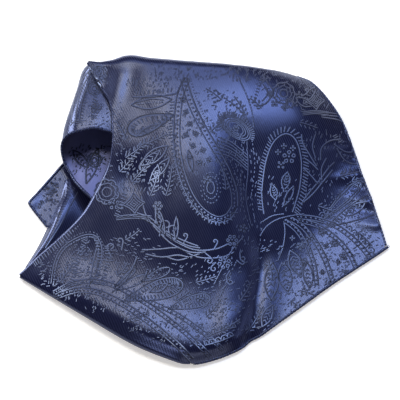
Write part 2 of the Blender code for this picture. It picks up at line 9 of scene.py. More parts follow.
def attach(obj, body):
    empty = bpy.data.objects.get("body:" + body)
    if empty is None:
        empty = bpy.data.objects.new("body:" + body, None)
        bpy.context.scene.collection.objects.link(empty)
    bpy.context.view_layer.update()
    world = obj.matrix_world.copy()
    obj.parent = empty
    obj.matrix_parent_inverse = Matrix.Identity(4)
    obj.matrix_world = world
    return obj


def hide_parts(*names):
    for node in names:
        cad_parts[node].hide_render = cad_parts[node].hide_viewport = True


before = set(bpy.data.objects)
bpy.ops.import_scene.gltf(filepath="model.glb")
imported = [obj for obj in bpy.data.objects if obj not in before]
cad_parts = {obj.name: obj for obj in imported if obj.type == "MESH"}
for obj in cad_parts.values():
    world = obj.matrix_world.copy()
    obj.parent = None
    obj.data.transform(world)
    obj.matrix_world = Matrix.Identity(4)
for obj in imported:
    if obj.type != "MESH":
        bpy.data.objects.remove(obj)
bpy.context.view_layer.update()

# The table: a plain pale surface under the heap. The camera looks down on it at 60
# degrees, from far off and through a long lens, so the picture has almost no
# perspective. Places in all the tables are in millimetres.
MILLIMETRE = 0.001
SIGHT_ANGLE = math.radians(60.0)
TABLE_COLOUR = (0.93, 0.895, 0.835)
TABLE_GLOW = 0.41
TABLE_ROUGHNESS = 0.9
TABLE_SHINE = 0.1
TABLE_WIDE = 3.0
TABLE_BELOW = 0.0003
VIEW_WIDE = 0.274
VIEW_AIM = Vector((-0.00298, 0.01227))
CAMERA_FAR = 6.0
SENSOR = 36.0


def placed(name, data):
    """An object in the scene, made of a mesh, a lamp or a camera."""
    made = bpy.data.objects.new(name, data)
    bpy.context.scene.collection.objects.link(made)
    return made


half = TABLE_WIDE / 2
table_mesh = bpy.data.meshes.new("table")
table_mesh.from_pydata(
    [(-half, -half, -TABLE_BELOW), (half, -half, -TABLE_BELOW),
     (half, half, -TABLE_BELOW), (-half, half, -TABLE_BELOW)],
    [], [(0, 1, 2, 3)],
)
table_finish = bpy.data.materials.new("pale_table")
table_finish.use_nodes = True
table_shader = table_finish.node_tree.nodes["Principled BSDF"]
table_shader.inputs["Base Color"].default_value = (*TABLE_COLOUR, 1.0)
table_shader.inputs["Roughness"].default_value = TABLE_ROUGHNESS
table_shader.inputs["Specular IOR Level"].default_value = TABLE_SHINE
table_shader.inputs["Emission Color"].default_value = (*TABLE_COLOUR, 1.0)
table_shader.inputs["Emission Strength"].default_value = TABLE_GLOW
table_mesh.materials.append(table_finish)
table = placed("table", table_mesh)

toward_camera = Vector((0.0, -math.cos(SIGHT_ANGLE), math.sin(SIGHT_ANGLE)))
picture_up = Vector((0.0, math.sin(SIGHT_ANGLE), math.cos(SIGHT_ANGLE)))
camera = placed("camera", bpy.data.cameras.new("camera"))
camera.data.sensor_width = SENSOR
camera.data.lens = SENSOR * CAMERA_FAR / VIEW_WIDE
camera.data.clip_end = 2 * CAMERA_FAR
aim = Vector((VIEW_AIM.x, 0.0, 0.0)) + picture_up * VIEW_AIM.y
camera.location = aim + toward_camera * CAMERA_FAR
camera.rotation_euler = toward_camera.to_track_quat("Z", "Y").to_euler()
bpy.context.scene.camera = camera

# The studio light: soft boxes round the table. The warm and the blue one behind give
# the satin its broad highlights, the one at the back left catches the crest, the left
# one reaches into the curl, and the rest fill.
SOFT_BOXES = (
    # name, turned from the front, elevation, wide, tall, brightness, colour
    ("box_behind", 198.0, 64.0, 0.34, 0.36, 13.0, (1.0, 0.92, 0.72)),
    ("box_behind_blue", 167.0, 62.0, 0.34, 0.36, 15.5, (0.68, 0.80, 1.0)),
    ("box_behind_low", 176.0, 47.0, 0.80, 0.30, 3.8, (0.60, 0.70, 1.0)),
    ("box_behind_right", 148.0, 50.0, 0.50, 0.50, 11.5, (0.46, 0.60, 1.0)),
    ("box_back_left", -131.0, 24.0, 0.60, 0.80, 19.0, (0.84, 0.89, 1.0)),
    ("box_right", 95.0, 30.0, 0.80, 0.50, 1.6, (0.62, 0.70, 1.0)),
    ("box_front", 15.0, 22.0, 1.20, 0.40, 2.2, (1.0, 0.96, 0.92)),
    ("box_left", -22.0, 42.0, 0.50, 0.30, 11.0, (0.72, 0.78, 1.0)),
)
SOFT_BOX_FAR = 1.6
ROOM_LIGHT = (0.035, 0.035, 0.038)

for name, turned, elevation, wide, tall, brightness, colour in SOFT_BOXES:
    turn = math.radians(turned)
    rise = math.radians(elevation)
    level = math.cos(rise)
    away = Vector((math.sin(turn) * level, -math.cos(turn) * level, math.sin(rise)))
    lamp = bpy.data.lights.new(name, "AREA")
    lamp.shape = "RECTANGLE"
    lamp.size = wide
    lamp.size_y = tall
    lamp.energy = brightness * math.pi * wide * tall
    lamp.color = colour
    holder = placed(name, lamp)
    holder.location = away * SOFT_BOX_FAR
    holder.rotation_euler = away.to_track_quat("Z", "Y").to_euler()

room = bpy.data.worlds.new("room")
room.use_nodes = True
room.node_tree.nodes["Background"].inputs["Color"].default_value = (*ROOM_LIGHT, 1.0)
bpy.context.scene.world = room
bpy.context.scene.view_settings.view_transform = "Standard"

# The upper sheet: the silk square as it shows from above, one face of cloth from the
# pointed fold at the left to the two hemmed edges at the right. It is woven in navy
# silk, lies folded and unpinned, and turns under in front, at the left and at the back.
WALL = 1.0
SILK_THICK = 0.35
SEAM_GAP = 0.35
HEM_RADIUS = 1.05
HEM_WIDTH = 2.0 * HEM_RADIUS + SEAM_GAP
HEM_REACH = 1.3
HEAP_MIDDLE = Vector((-0.42, -2.28, 0.0))
FRONT_EDGE = (
    # along, across, up
    (0.000, -127.5, -40.8),
    (0.040, -117.5, -46.8),
    (0.150, -86.0, -65.8),
    (0.300, -50.0, -87.0),
    (0.400, -22.0, -98.5),
    (0.450, -10.0, -102.0),
    (0.500, 4.5, -99.5),
    (0.580, 24.2, -91.6),
    (0.700, 54.2, -71.0),
    (0.850, 89.3, -46.1),
    (1.000, 126.0, -22.9),
)
BACK_EDGE = (
    # along, across, up
    (0.00, -81.5, 105.5),
    (0.08, -69.0, 105.2),
    (0.19, -54.5, 109.2),
    (0.30, -38.0, 108.6),
    (0.45, -15.0, 107.0),
    (0.62, 9.0, 105.4),
    (0.80, 36.0, 103.4),
    (1.00, 65.5, 99.5),
)
LEFT_CREST = (
    # along, across, up
    (0.00, -127.5, -40.8),
    (0.10, -115.6, -28.5),
    (0.23, -99.4, -14.0),
    (0.36, -84.2, 2.0),
    (0.47, -74.1, 19.0),
    (0.56, -66.8, 34.0),
    (0.66, -63.8, 51.0),
    (0.75, -64.0, 66.0),
    (0.80, -65.5, 76.0),
    (0.87, -70.5, 86.0),
    (1.00, -81.5, 105.5),
)
RIGHT_EDGE = (
    # along, across, up
    (0.00, 126.0, -22.9),
    (0.12, 120.3, -6.0),
    (0.26, 114.9, 11.0),
    (0.40, 109.2, 26.5),
    (0.53, 104.2, 42.0),
    (0.66, 99.0, 57.5),
    (0.76, 93.6, 69.5),
    (0.86, 83.8, 83.5),
    (0.94, 73.8, 94.2),
    (1.00, 65.5, 99.5),
)
SECTION_STOPS = (0.0, 0.05, 0.12, 0.20, 0.30, 0.42, 0.55, 0.68, 0.80, 0.90, 1.0)
SECTIONS = (
    # along, then the height at each stop from the front to the back
    (0.00, 4.2, 6.2, 9.0, 11.8, 15.0, 19.6, 25.2, 29.0, 29.5, 29.5, 29.0),
    (0.10, 6.5, 9.4, 10.2, 11.0, 13.8, 18.5, 24.2, 29.0, 30.4, 30.6, 30.6),
    (0.25, 7.5, 12.2, 12.6, 12.8, 15.4, 21.4, 27.4, 31.4, 32.6, 32.8, 32.4),
    (0.38, 6.2, 11.4, 11.9, 12.2, 14.4, 20.8, 27.2, 31.6, 33.0, 33.2, 32.4),
    (0.45, 3.4, 9.8, 10.9, 11.2, 13.2, 19.2, 25.8, 30.6, 32.4, 32.8, 32.0),
    (0.60, 2.8, 6.0, 7.8, 8.4, 10.2, 14.6, 19.8, 25.2, 29.4, 30.6, 30.2),
    (0.70, 2.4, 2.7, 3.2, 4.2, 6.8, 11.2, 16.4, 21.8, 26.6, 28.2, 28.2),
    (0.85, 2.2, 2.4, 2.6, 2.9, 3.6, 6.8, 11.4, 16.4, 20.6, 22.0, 22.0),
    (1.00, 1.7, 1.75, 1.8, 1.85, 1.9, 2.0, 2.4, 3.6, 5.8, 8.0, 9.5),
)
FOLDS = (
    # half width, then the line it follows: across, up and rise at each point
    (4.5, ((-63.0, 74.0, 1.0), (-60.0, 84.0, 2.0), (-57.0, 96.0, 1.6))),
    (5.0, ((-70.0, 88.0, -2.2), (-68.0, 98.0, -2.2))),
    (6.0, ((-50.0, 100.0, -1.6), (-54.0, 84.0, -0.8))),
    (12.0, ((-52.0, 26.0, -2.2), (-42.0, 20.0, -1.8))),
    (15.0, ((21.0, 66.0, -0.4), (25.0, 44.0, -2.6), (31.0, 12.0, -3.8), (38.0, -24.0, -2.2))),
    (5.5, ((38.0, -20.0, -0.8), (38.0, -38.0, -2.4), (31.0, -84.0, -2.6))),
    (8.0, ((17.0, -46.0, 1.0), (15.0, -80.0, 1.4))),
)
CREASES = (
    # half width, then the line it follows: across, up and rise at each point
    (8.5, (
        (-121.0, -37.0, -0.4), (-110.0, -24.5, -1.2), (-98.4, -13.5, -1.7), (-84.2, 3.0, -1.8),
        (-73.6, 20.0, -1.7), (-66.4, 36.0, -1.4), (-63.5, 52.0, -1.2), (-63.8, 66.0, -0.9),
        (-65.0, 76.0, -0.5),
    )),
    (4.5, ((-63.0, 74.0, -0.5), (-60.0, 84.0, -1.3), (-57.0, 96.0, -1.1))),
    (5.0, ((-70.0, 88.0, 1.3), (-68.0, 98.0, 1.4))),
    (6.0, ((-50.0, 100.0, 1.1), (-54.0, 84.0, 0.5))),
    (3.2, ((98.0, 50.0, 1.1), (78.0, 48.0, 0.2))),
    (3.0, ((101.5, 38.5, -1.0), (85.0, 37.0, 0.0))),
    (3.0, ((104.5, 28.0, 1.1), (84.0, 25.0, 0.2))),
    (2.8, ((108.5, 18.0, -1.0), (90.0, 20.0, 0.0))),
    (2.6, ((111.5, 9.5, 1.0), (93.0, 13.0, 0.0))),
    (2.6, ((114.0, 2.0, -0.9), (97.0, 6.0, 0.0))),
    (3.2, ((117.0, -7.0, 0.9), (98.0, -4.0, 0.1))),
)
EDGE_STEP = 0.004
FOLD_FADED = 3.0
FRONT_FOLD_INSET = 0.38
FRONT_HEM_INSET = 0.95
BACK_TURN_INSET = 0.5
CREST_TURN_INSET = 0.9
CORNER_INSET = 0.7
CORNER_REACH = 0.12
FRONT_FOLD_END = 0.45
FRONT_HEM_FADE = 0.04
FRONT_TUCK = 4.0
FRONT_TUCK_LEAST = 0.25
FRONT_TUCK_GROWTH = 7.0
TURN_STEPS = 12
DROP_STEPS = 9
BACK_TUCK = 5.0
BACK_DROP_FULL = 0.16
BACK_DROP_LEAST = 0.04
BACK_CURLED_LEAST = 0.15
BACK_LOW_RADIUS = 3.0
BACK_LOW_SHARE = 0.45
BACK_LEAST_LEAN = 0.4
BACK_CLEAR = 0.2
BACK_TURN = (
    # along, radius of the turn
    (0.00, 1.6),
    (0.19, 9.0),
    (0.45, 9.0),
    (0.80, 7.0),
    (1.00, 4.5),
)
CREST_TURN = (
    # along, radius of the turn, length that runs on under the sheet
    (0.00, 1.7, 0.6),
    (0.20, 2.4, 4.5),
    (0.40, 2.8, 5.5),
    (0.55, 2.4, 4.0),
    (0.65, 1.4, 2.0),
    (0.80, 1.3, 1.5),
    (1.00, 1.3, 1.0),
)
BACK_WAVES = (
    # along, half width along, how far the wall stands out
    (0.22, 0.032, 1.9),
    (0.29, 0.024, -1.4),
    (0.41, 0.045, 2.2),
    (0.53, 0.026, -1.8),
    (0.63, 0.034, 1.5),
    (0.76, 0.024, -1.2),
    (0.86, 0.030, 0.8),
)
SHEET_COLUMNS = (
    0.0, 0.02, 0.045, 0.075, 0.11, 0.15, 0.19, 0.23, 0.27, 0.31, 0.35, 0.39,
    0.42, 0.45, 0.48, 0.51, 0.54, 0.57, 0.60, 0.63, 0.66, 0.69, 0.725, 0.765,
    0.81, 0.85, 0.89, 0.93, 0.965, 1.0,
)
SHEET_ROWS = (
    0.0, 0.025, 0.06, 0.10, 0.145, 0.19, 0.235, 0.28, 0.325, 0.37, 0.415, 0.46,
    0.505, 0.55, 0.60, 0.65, 0.70, 0.745, 0.79, 0.83, 0.87, 0.91, 0.94, 0.97,
    1.0,
)
FINER = 6
ROUNDING = 1e-9
SHARP_EDGE = math.radians(60.0)
BAKE_MARGIN = 0.01
BAKE_STRIPES = {"face": (0.01, 0.70), "rim": (0.72, 0.02), "under": (0.76, 0.23)}
WARP_ACROSS = Vector((-0.9213, -0.4202))
WARP_BACK = Vector((-0.5670, 0.8403))
NAVY = (0.0100, 0.0110, 0.037)
NAVY_WORN = (0.0140, 0.0155, 0.048)
RIB_PITCH = 0.0015
RIB_HIGH = 0.000024
RIB_STRAY = 2.5
WEFT_SHARE = 0.45
SLUB_SHARE = 0.4
PATCH_SCALE = 45.0
SLUB_SCALE = (900.0, 90.0, 1.0)
WEFT_SCALE = (260.0, 2600.0, 1.0)
SATIN_ROUGHNESS = 0.21


def table_row(table, along):
    """Values of a table's columns at a place along it, on a smooth curve."""
    last = len(table) - 1
    index = 0
    while index < last - 1 and along > table[index + 1][0]:
        index += 1
    start, end = table[index], table[index + 1]
    before = table[max(index - 1, 0)]
    after = table[min(index + 2, last)]
    span = end[0] - start[0]
    step = (along - start[0]) / span
    values = []
    for column in range(1, len(start)):
        slope_in = (end[column] - before[column]) / (end[0] - before[0]) * span
        slope_out = (after[column] - start[column]) / (after[0] - start[0]) * span
        values.append(
            (2 * step ** 3 - 3 * step ** 2 + 1) * start[column]
            + (step ** 3 - 2 * step ** 2 + step) * slope_in
            + (3 * step ** 2 - 2 * step ** 3) * end[column]
            + (step ** 3 - step ** 2) * slope_out
        )
    return values


def place(where, high):
    """The point of a line of sight at a height over the table."""
    back = (where.y - high * math.cos(SIGHT_ANGLE)) / math.sin(SIGHT_ANGLE)
    return Vector((where.x, back, high))


def inset(table, along, distance):
    """A place on an edge, moved to the left of its run by a distance."""
    before = table_row(table, max(along - EDGE_STEP, 0.0))
    after = table_row(table, min(along + EDGE_STEP, 1.0))
    run = Vector((after[0] - before[0], after[1] - before[1])).normalized()
    across, up = table_row(table, along)
    return Vector((across - run.y * distance, up + run.x * distance))


def front_line(along):
    """Where the sheet's face ends in front: its fold, then its hem."""
    fold = FRONT_FOLD_INSET * table_row(SECTIONS, along)[0]
    hemmed = min(max((along - FRONT_FOLD_END) / FRONT_HEM_FADE + 1.0, 0.0), 1.0)
    hem = FRONT_HEM_INSET * HEM_WIDTH
    return inset(FRONT_EDGE, along, fold + (hem - fold) * hemmed)


def back_line(along):
    """Where the sheet's face ends at the back, before it turns over."""
    return inset(BACK_EDGE, along, -BACK_TURN_INSET * table_row(BACK_TURN, along)[0])


def left_line(along):
    """Where the sheet's face ends at the left, before the crest turns over."""
    return inset(LEFT_CREST, along, -CREST_TURN_INSET * table_row(CREST_TURN, along)[0])


def right_line(along):
    """Where the sheet's face ends at the right, at its hem."""
    return inset(RIGHT_EDGE, along, HEM_WIDTH)


def meeting_place(one, one_end, other, other_end, corner):
    """The corner where two inset lines meet."""
    return one(one_end) + other(other_end) - Vector(corner[1:])


CORNER_LEFT_FRONT = meeting_place(front_line, 0.0, left_line, 0.0, FRONT_EDGE[0])
CORNER_RIGHT_FRONT = meeting_place(front_line, 1.0, right_line, 0.0, FRONT_EDGE[-1])
CORNER_LEFT_BACK = meeting_place(back_line, 0.0, left_line, 1.0, BACK_EDGE[0])
CORNER_RIGHT_BACK = back_line(1.0) - Vector((CORNER_INSET, CORNER_INSET)) * HEM_WIDTH


def line_between(line, along, first, last):
    """A line of the sheet, drawn to the corners at its two ends."""
    near_first = max(1.0 - along / CORNER_REACH, 0.0) ** 2
    near_last = max(1.0 - (1.0 - along) / CORNER_REACH, 0.0) ** 2
    where = line(along)
    where += (first - line(0.0)) * near_first
    where += (last - line(1.0)) * near_last
    return where


def fold_rise(table, where):
    """How much a table's ridges and troughs lift the cloth at a place."""
    rise_here = 0.0
    for half_width, line in table:
        nearest = None
        for (across, up, rise), (to_across, to_up, to_rise) in zip(line, line[1:]):
            run_across, run_up = to_across - across, to_up - up
            away_across, away_up = where.x - across, where.y - up
            part = away_across * run_across + away_up * run_up
            part = min(max(part / (run_across ** 2 + run_up ** 2), 0.0), 1.0)
            away = math.hypot(away_across - run_across * part, away_up - run_up * part)
            if nearest is None or away < nearest:
                nearest = away
                rise_there = rise + (to_rise - rise) * part
        if nearest < FOLD_FADED * half_width:
            rise_here += rise_there * math.exp(-((nearest / half_width) ** 2))
    return rise_here


def finer(stops):
    """The same stops, with more of them between."""
    fine = []
    for start, end in zip(stops, stops[1:]):
        fine += [start + (end - start) * step / FINER for step in range(FINER)]
    return fine + [stops[-1]]


def leaving(point, neighbour, along_edge):
    """Level direction and slope in which a face leaves over its edge."""
    inward = neighbour - point
    inward -= along_edge * inward.dot(along_edge) / along_edge.length_squared
    away = -inward.normalized()
    level = Vector((away.x, away.y, 0.0)).normalized()
    return level, math.atan2(away.z, away.dot(level))


def turn_down(start, level, slope, radius, turn, steps):
    """Points on an arc that leaves at a slope and bends down by an angle."""
    points = []
    for step in range(1, steps + 1):
        heading = slope - turn * step / steps
        reach = radius * (math.sin(slope) - math.sin(heading))
        fall = radius * (math.cos(slope) - math.cos(heading))
        points.append(start + level * reach - Vector((0.0, 0.0, fall)))
    return points


def drop_to_table(start, level, slope, radius, tuck, share, wave):
    """A fold that turns over, drops a share of the way to the table, waves a little
    in or out and tucks back under."""
    curled = max(share ** 2, BACK_CURLED_LEAST)
    low_radius = min(BACK_LOW_RADIUS, BACK_LOW_SHARE * start.z) * curled
    lean = max(math.cos(slope), BACK_LEAST_LEAN)
    radius = min(radius, (start.z - low_radius - BACK_CLEAR) / lean)
    points = turn_down(start, level, slope, radius, slope + math.pi / 2, TURN_STEPS)
    top = points[-1]
    foot = top.copy()
    foot.z += (low_radius - foot.z) * share
    for step in range(1, DROP_STEPS + 1):
        part = step / DROP_STEPS
        points.append(top.lerp(foot, part) + level * wave * math.sin(math.pi * part))
    points += turn_down(foot, level, -math.pi / 2, low_radius, math.pi / 2, TURN_STEPS // 2)
    points.append(points[-1] - level * tuck * curled)
    return points


def upper_sheet_net():
    """Points and cells of the upper sheet, with the folds at its edges."""
    columns = finer(SHEET_COLUMNS)
    rows = finer(SHEET_ROWS)
    last_column = len(columns) - 1
    last_row = len(rows) - 1
    left = [line_between(left_line, row, CORNER_LEFT_FRONT, CORNER_LEFT_BACK) for row in rows]
    right = [line_between(right_line, row, CORNER_RIGHT_FRONT, CORNER_RIGHT_BACK) for row in rows]
    points = {}
    laid = {}
    for column, to_right in enumerate(columns):
        front = line_between(front_line, to_right, CORNER_LEFT_FRONT, CORNER_RIGHT_FRONT)
        back = line_between(back_line, to_right, CORNER_LEFT_BACK, CORNER_RIGHT_BACK)
        corners_front = CORNER_LEFT_FRONT.lerp(CORNER_RIGHT_FRONT, to_right)
        corners_back = CORNER_LEFT_BACK.lerp(CORNER_RIGHT_BACK, to_right)
        profile = list(zip(SECTION_STOPS, table_row(SECTIONS, to_right)))
        for row, to_back in enumerate(rows):
            where = front.lerp(back, to_back) + left[row].lerp(right[row], to_right)
            where -= corners_front.lerp(corners_back, to_back)
            high = table_row(profile, to_back)[0]
            high += fold_rise(FOLDS, where) + fold_rise(CREASES, where)
            points[column, row] = place(where, high)
            laid[column, row] = points[column, row].xy

    def turn_over(edge_name, names, turned):
        """Carry a fold's points on from an edge, laid out flat beyond it."""
        before = points[edge_name]
        level = (turned[TURN_STEPS // 3].xy - before.xy).normalized()
        travel = 0.0
        for name, point in zip(names, turned):
            travel += (point - before).length
            points[name] = before = point
            laid[name] = laid[edge_name] + level * travel

    for column, to_right in enumerate(columns):
        edge = points[column, last_row]
        side = points[min(column + 1, last_column), last_row]
        side = side - points[max(column - 1, 0), last_row]
        level, slope = leaving(edge, points[column, last_row - 1], side)
        radius = table_row(BACK_TURN, to_right)[0]
        share = min(max(to_right / BACK_DROP_FULL, BACK_DROP_LEAST), 1.0)
        wave = sum(
            out * math.exp(-(((to_right - along) / half_width) ** 2))
            for along, half_width, out in BACK_WAVES
        )
        turned = drop_to_table(edge, level, slope, radius, BACK_TUCK, share, wave)
        names = [(column, last_row + 1 + step) for step in range(len(turned))]
        turn_over((column, last_row), names, turned)

        if to_right <= FRONT_FOLD_END + ROUNDING:
            edge = points[column, 0]
            side = points[column + 1, 0] - points[max(column - 1, 0), 0]
            level, slope = leaving(edge, points[column, 1], side)
            from_end = min(to_right, FRONT_FOLD_END - to_right)
            share = min(FRONT_TUCK_LEAST + FRONT_TUCK_GROWTH * from_end, 1.0)
            lean = 1.0 + math.cos(slope)
            turned = turn_down(edge, level, slope, edge.z / lean, slope + math.pi, TURN_STEPS)
            turned.append(turned[-1] - level * FRONT_TUCK * share)
            names = [(column, -1 - step) for step in range(len(turned))]
            turn_over((column, 0), names, turned)

    for row, to_back in enumerate(rows):
        edge = points[0, row]
        side = points[0, min(row + 1, last_row)] - points[0, max(row - 1, 0)]
        level, slope = leaving(edge, points[1, row], side)
        radius, run_on = table_row(CREST_TURN, to_back)
        turned = turn_down(edge, level, slope, radius, math.pi + slope, TURN_STEPS)
        turned.append(turned[-1] - level * run_on)
        names = [(-1 - step, row) for step in range(len(turned))]
        turn_over((0, row), names, turned)

    for column, to_right in enumerate(columns):
        if to_right > FRONT_FOLD_END + ROUNDING:
            run_into_hem(points, laid, (column, 0), (column, 1), (column, -1))
    for row in range(last_row + TURN_STEPS + DROP_STEPS + 1):
        run_into_hem(points, laid, (last_column, row), (last_column - 1, row), (last_column + 1, row))
    return points, laid, cells_of(points)


def run_into_hem(points, laid, edge, inner, beyond):
    """Carry a shell's edge on into the roll of its hem."""
    onward = (points[edge] - points[inner]).normalized() * HEM_REACH
    points[beyond] = points[edge] + onward
    points[beyond].z = max(points[beyond].z, min(points[edge].z, 2.0 * SILK_THICK))
    laid[beyond] = laid[edge] + onward.xy


def cells_of(points):
    """All the four-cornered cells of a net of points."""
    cells = []
    for column, row in points:
        cell = ((column, row), (column + 1, row), (column + 1, row + 1), (column, row + 1))
        if all(corner in points for corner in cell):
            cells.append(cell)
    return cells


def silk_shell(name, net, finish, reverse=None):
    """A closed thin shell of silk under a net whose faces look outwards, with a map
    of the cloth in metres and one for its baked finish."""
    points, laid, cells = net
    names = sorted({corner for cell in cells for corner in cell})
    number_of = {corner: number for number, corner in enumerate(names)}
    outward = {corner: Vector() for corner in names}
    for cell in cells:
        first, second, third, fourth = (points[corner] for corner in cell)
        normal = (third - first).cross(fourth - second)
        if normal.length > 0.0:
            normal.normalize()
        for corner in cell:
            outward[corner] += normal
    count = len(names)
    vertices = [points[corner] for corner in names]
    vertices += [points[corner] - outward[corner].normalized() * SILK_THICK for corner in names]

    first_column = min(column for column, row in names)
    wide = max(column for column, row in names) - first_column
    first_row = min(row for column, row in names)
    tall = max(row for column, row in names) - first_row

    def bake_place(corner, layer):
        """Where a point of the face, the rim or the underside lies in the bake."""
        column, row = corner
        part = (row - first_row) / tall
        start, size = BAKE_STRIPES[layer]
        across = (column - first_column) / wide
        return (BAKE_MARGIN + (1.0 - 2 * BAKE_MARGIN) * across, start + size * part)

    faces = []
    bake_places = []
    edges = set()
    for cell in cells:
        numbers = [number_of[corner] for corner in cell]
        faces.append(numbers)
        bake_places += [bake_place(corner, "face") for corner in cell]
        faces.append([number + count for number in reversed(numbers)])
        bake_places += [bake_place(corner, "under") for corner in reversed(cell)]
        for step in range(4):
            edges.add((cell[step], cell[(step + 1) % 4]))
    for start, end in sorted(edges):
        if (end, start) not in edges:
            near, far = number_of[start], number_of[end]
            faces.append([far, near, near + count, far + count])
            bake_places += [bake_place(corner, "rim") for corner in (end, start, start, end)]

    mesh = bpy.data.meshes.new(name)
    mesh.from_pydata([(vertex - HEAP_MIDDLE) * MILLIMETRE for vertex in vertices], [], faces)
    bake_map = mesh.uv_layers.new(name="OFBake")
    bake_map.data.foreach_set("uv", [value for where in bake_places for value in where])
    cloth_map = mesh.uv_layers.new(name="cloth")
    flat = []
    for corner in names:
        where = laid[corner] * MILLIMETRE
        flat.append((where.dot(WARP_ACROSS), where.dot(WARP_BACK)))
    for loop in mesh.loops:
        cloth_map.data[loop.index].uv = flat[loop.vertex_index % count]
    mesh.shade_smooth()
    mesh.set_sharp_from_angle(angle=SHARP_EDGE)
    mesh.materials.append(finish)
    if reverse:
        mesh.materials.append(reverse)
        for number in range(len(cells)):
            mesh.polygons[2 * number + 1].material_index = 1
    return placed(name, mesh)


class Wire:
    """An output in a finish's nodes that can be used in plain arithmetic."""

    def __init__(self, finish, socket):
        self.finish = finish
        self.socket = socket

    def work(self, operation, first, second):
        return self.finish.node("ShaderNodeMath", {"operation": operation}, {0: first, 1: second})

    def __add__(self, other):
        return self.work("ADD", self, other)

    def __radd__(self, other):
        return self.work("ADD", other, self)

    def __mul__(self, other):
        return self.work("MULTIPLY", self, other)

    def __rmul__(self, other):
        return self.work("MULTIPLY", other, self)

    def sine(self):
        return self.work("SINE", self, 0.0)


class Finish:
    """A material under construction."""

    def __init__(self, name):
        self.material = bpy.data.materials.new(name)
        self.material.use_nodes = True
        self.tree = self.material.node_tree
        self.shader = self.tree.nodes["Principled BSDF"]

    def join(self, socket, value):
        """Link a wire to a socket, or set the socket to a value."""
        if isinstance(value, Wire):
            self.tree.links.new(value.socket, socket)
        else:
            socket.default_value = value

    def node(self, kind, settings, values, output=0):
        """A node with its settings and its inputs; gives one of its outputs."""
        made = self.tree.nodes.new(kind)
        for setting, value in settings.items():
            setattr(made, setting, value)
        for name, value in values.items():
            self.join(made.inputs[name], value)
        return Wire(self, made.outputs[output])

    def blend(self, share, first, second):
        """A colour between two colours."""
        values = {0: share, 6: first, 7: second}
        return self.node("ShaderNodeMix", {"data_type": "RGBA"}, values, 2)

    def noise(self, where, scale, detail):
        """Soft noise over a place, from 0 to 1."""
        values = {"Vector": where, "Scale": scale, "Detail": detail, "Roughness": 0.5}
        return self.node("ShaderNodeTexNoise", {}, values)

    def surface(self, values):
        """Set the inputs of the finish's own shader."""
        for name, value in values.items():
            self.join(self.shader.inputs[name], value)


def silk_finish(name, dark, light, ribs, mapped=True, rough=SATIN_ROUGHNESS):
    """Woven silk: fine ribs along the warp, a soft broad shine and slight wear."""
    silk = Finish(name)
    if mapped:
        cloth = silk.node("ShaderNodeUVMap", {"uv_map": "cloth"}, {})
    else:
        cloth = silk.node("ShaderNodeTexCoord", {}, {}, "Object")
    parted = silk.node("ShaderNodeSeparateXYZ", {}, {0: cloth}, "X")
    solid = silk.node("ShaderNodeTexCoord", {}, {}, "Object")
    patches = silk.noise(solid, PATCH_SCALE, 3.0)
    drawn = silk.node("ShaderNodeMapping", {}, {"Vector": cloth, "Scale": SLUB_SCALE})
    slubs = silk.noise(drawn, 1.0, 2.0)
    rib = (parted * (2 * math.pi / RIB_PITCH) + slubs * RIB_STRAY).sine() * 0.5 + 0.5
    drawn = silk.node("ShaderNodeMapping", {}, {"Vector": cloth, "Scale": WEFT_SCALE})
    weft = silk.noise(drawn, 1.0, 1.0)
    height = rib * ribs + weft * (WEFT_SHARE * ribs) + slubs * (SLUB_SHARE * ribs)
    bumped = silk.node("ShaderNodeBump", {}, {"Strength": 1.0, "Distance": 1.0, "Height": height}, "Normal")
    silk.surface({
        "Base Color": silk.blend(patches * 0.6 + rib * 0.25, (*dark, 1.0), (*light, 1.0)),
        "Metallic": 0.3,
        "Roughness": rough + patches * 0.09 + rib * 0.04,
        "Specular IOR Level": 0.7,
        "Specular Tint": (0.60, 0.70, 1.0, 1.0),
        "Sheen Weight": 0.08,
        "Sheen Roughness": 0.4,
        "Normal": bumped,
    })
    return silk.material


navy_satin = silk_finish("navy_satin_woven", NAVY, NAVY_WORN, RIB_HIGH)
sheet_net = upper_sheet_net()
upper_sheet = silk_shell("upper_sheet_silk", sheet_net, navy_satin)
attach(upper_sheet, "root")
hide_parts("upper_sheet")

# The curl: the square's left part, rolled over to a soft tube that lies open towards
# the viewer. It is the same silk, with its duller reverse inside, and the roll is held
# by nothing but its own spring. The reverse is also painted much lighter than the face:
# painted light that stands in for the light reaching into the tube.
CURL_SECTIONS = (
    # along, back, leftmost across, width of the bend, top, underside
    (0.00, 104.0, -79.5, 7.0, 3.2, 0.0),
    (0.04, 103.6, -82.6, 7.0, 13.0, 0.0),
    (0.10, 102.4, -84.2, 8.0, 20.5, 0.0),
    (0.18, 99.0, -85.8, 9.0, 24.0, 0.0),
    (0.30, 92.0, -87.8, 10.5, 24.7, 0.6),
    (0.45, 84.0, -90.2, 11.0, 25.0, 1.4),
    (0.60, 76.0, -93.0, 11.0, 25.5, 1.6),
    (0.85, 63.0, -97.0, 11.0, 26.0, 1.6),
    (1.00, 54.0, -98.6, 11.0, 26.0, 1.6),
)
CURL_TOP_END = -62.0
CURL_FLOOR_END = -61.0
CURL_RIM = (
    # around the section, back of the closed end, back of the rim, extra height
    (0.00, 104.0, 53.0, -1.8),
    (0.15, 103.0, 56.0, -0.4),
    (0.28, 110.5, 54.0, -0.5),
    (0.40, 110.0, 51.5, -1.0),
    (0.50, 107.5, 47.0, 0.0),
    (0.58, 107.0, 40.0, 0.5),
    (0.64, 106.5, 33.0, 2.4),
    (0.70, 105.5, 24.0, 3.4),
    (0.85, 101.5, 8.0, 3.4),
    (1.00, 98.0, -6.0, 2.6),
)
CURL_FLOOR_LIFT = 5.8
CURL_LIFT_AROUND = (0.60, 0.80)
CURL_LIFT_TRAVEL = (0.05, 0.55)
CURL_TOP_SHARE = 0.30
CURL_BEND_SHARE = 0.40
CURL_RISE_POWER = 4
CURL_COLUMNS = 50
CURL_ROWS = 56
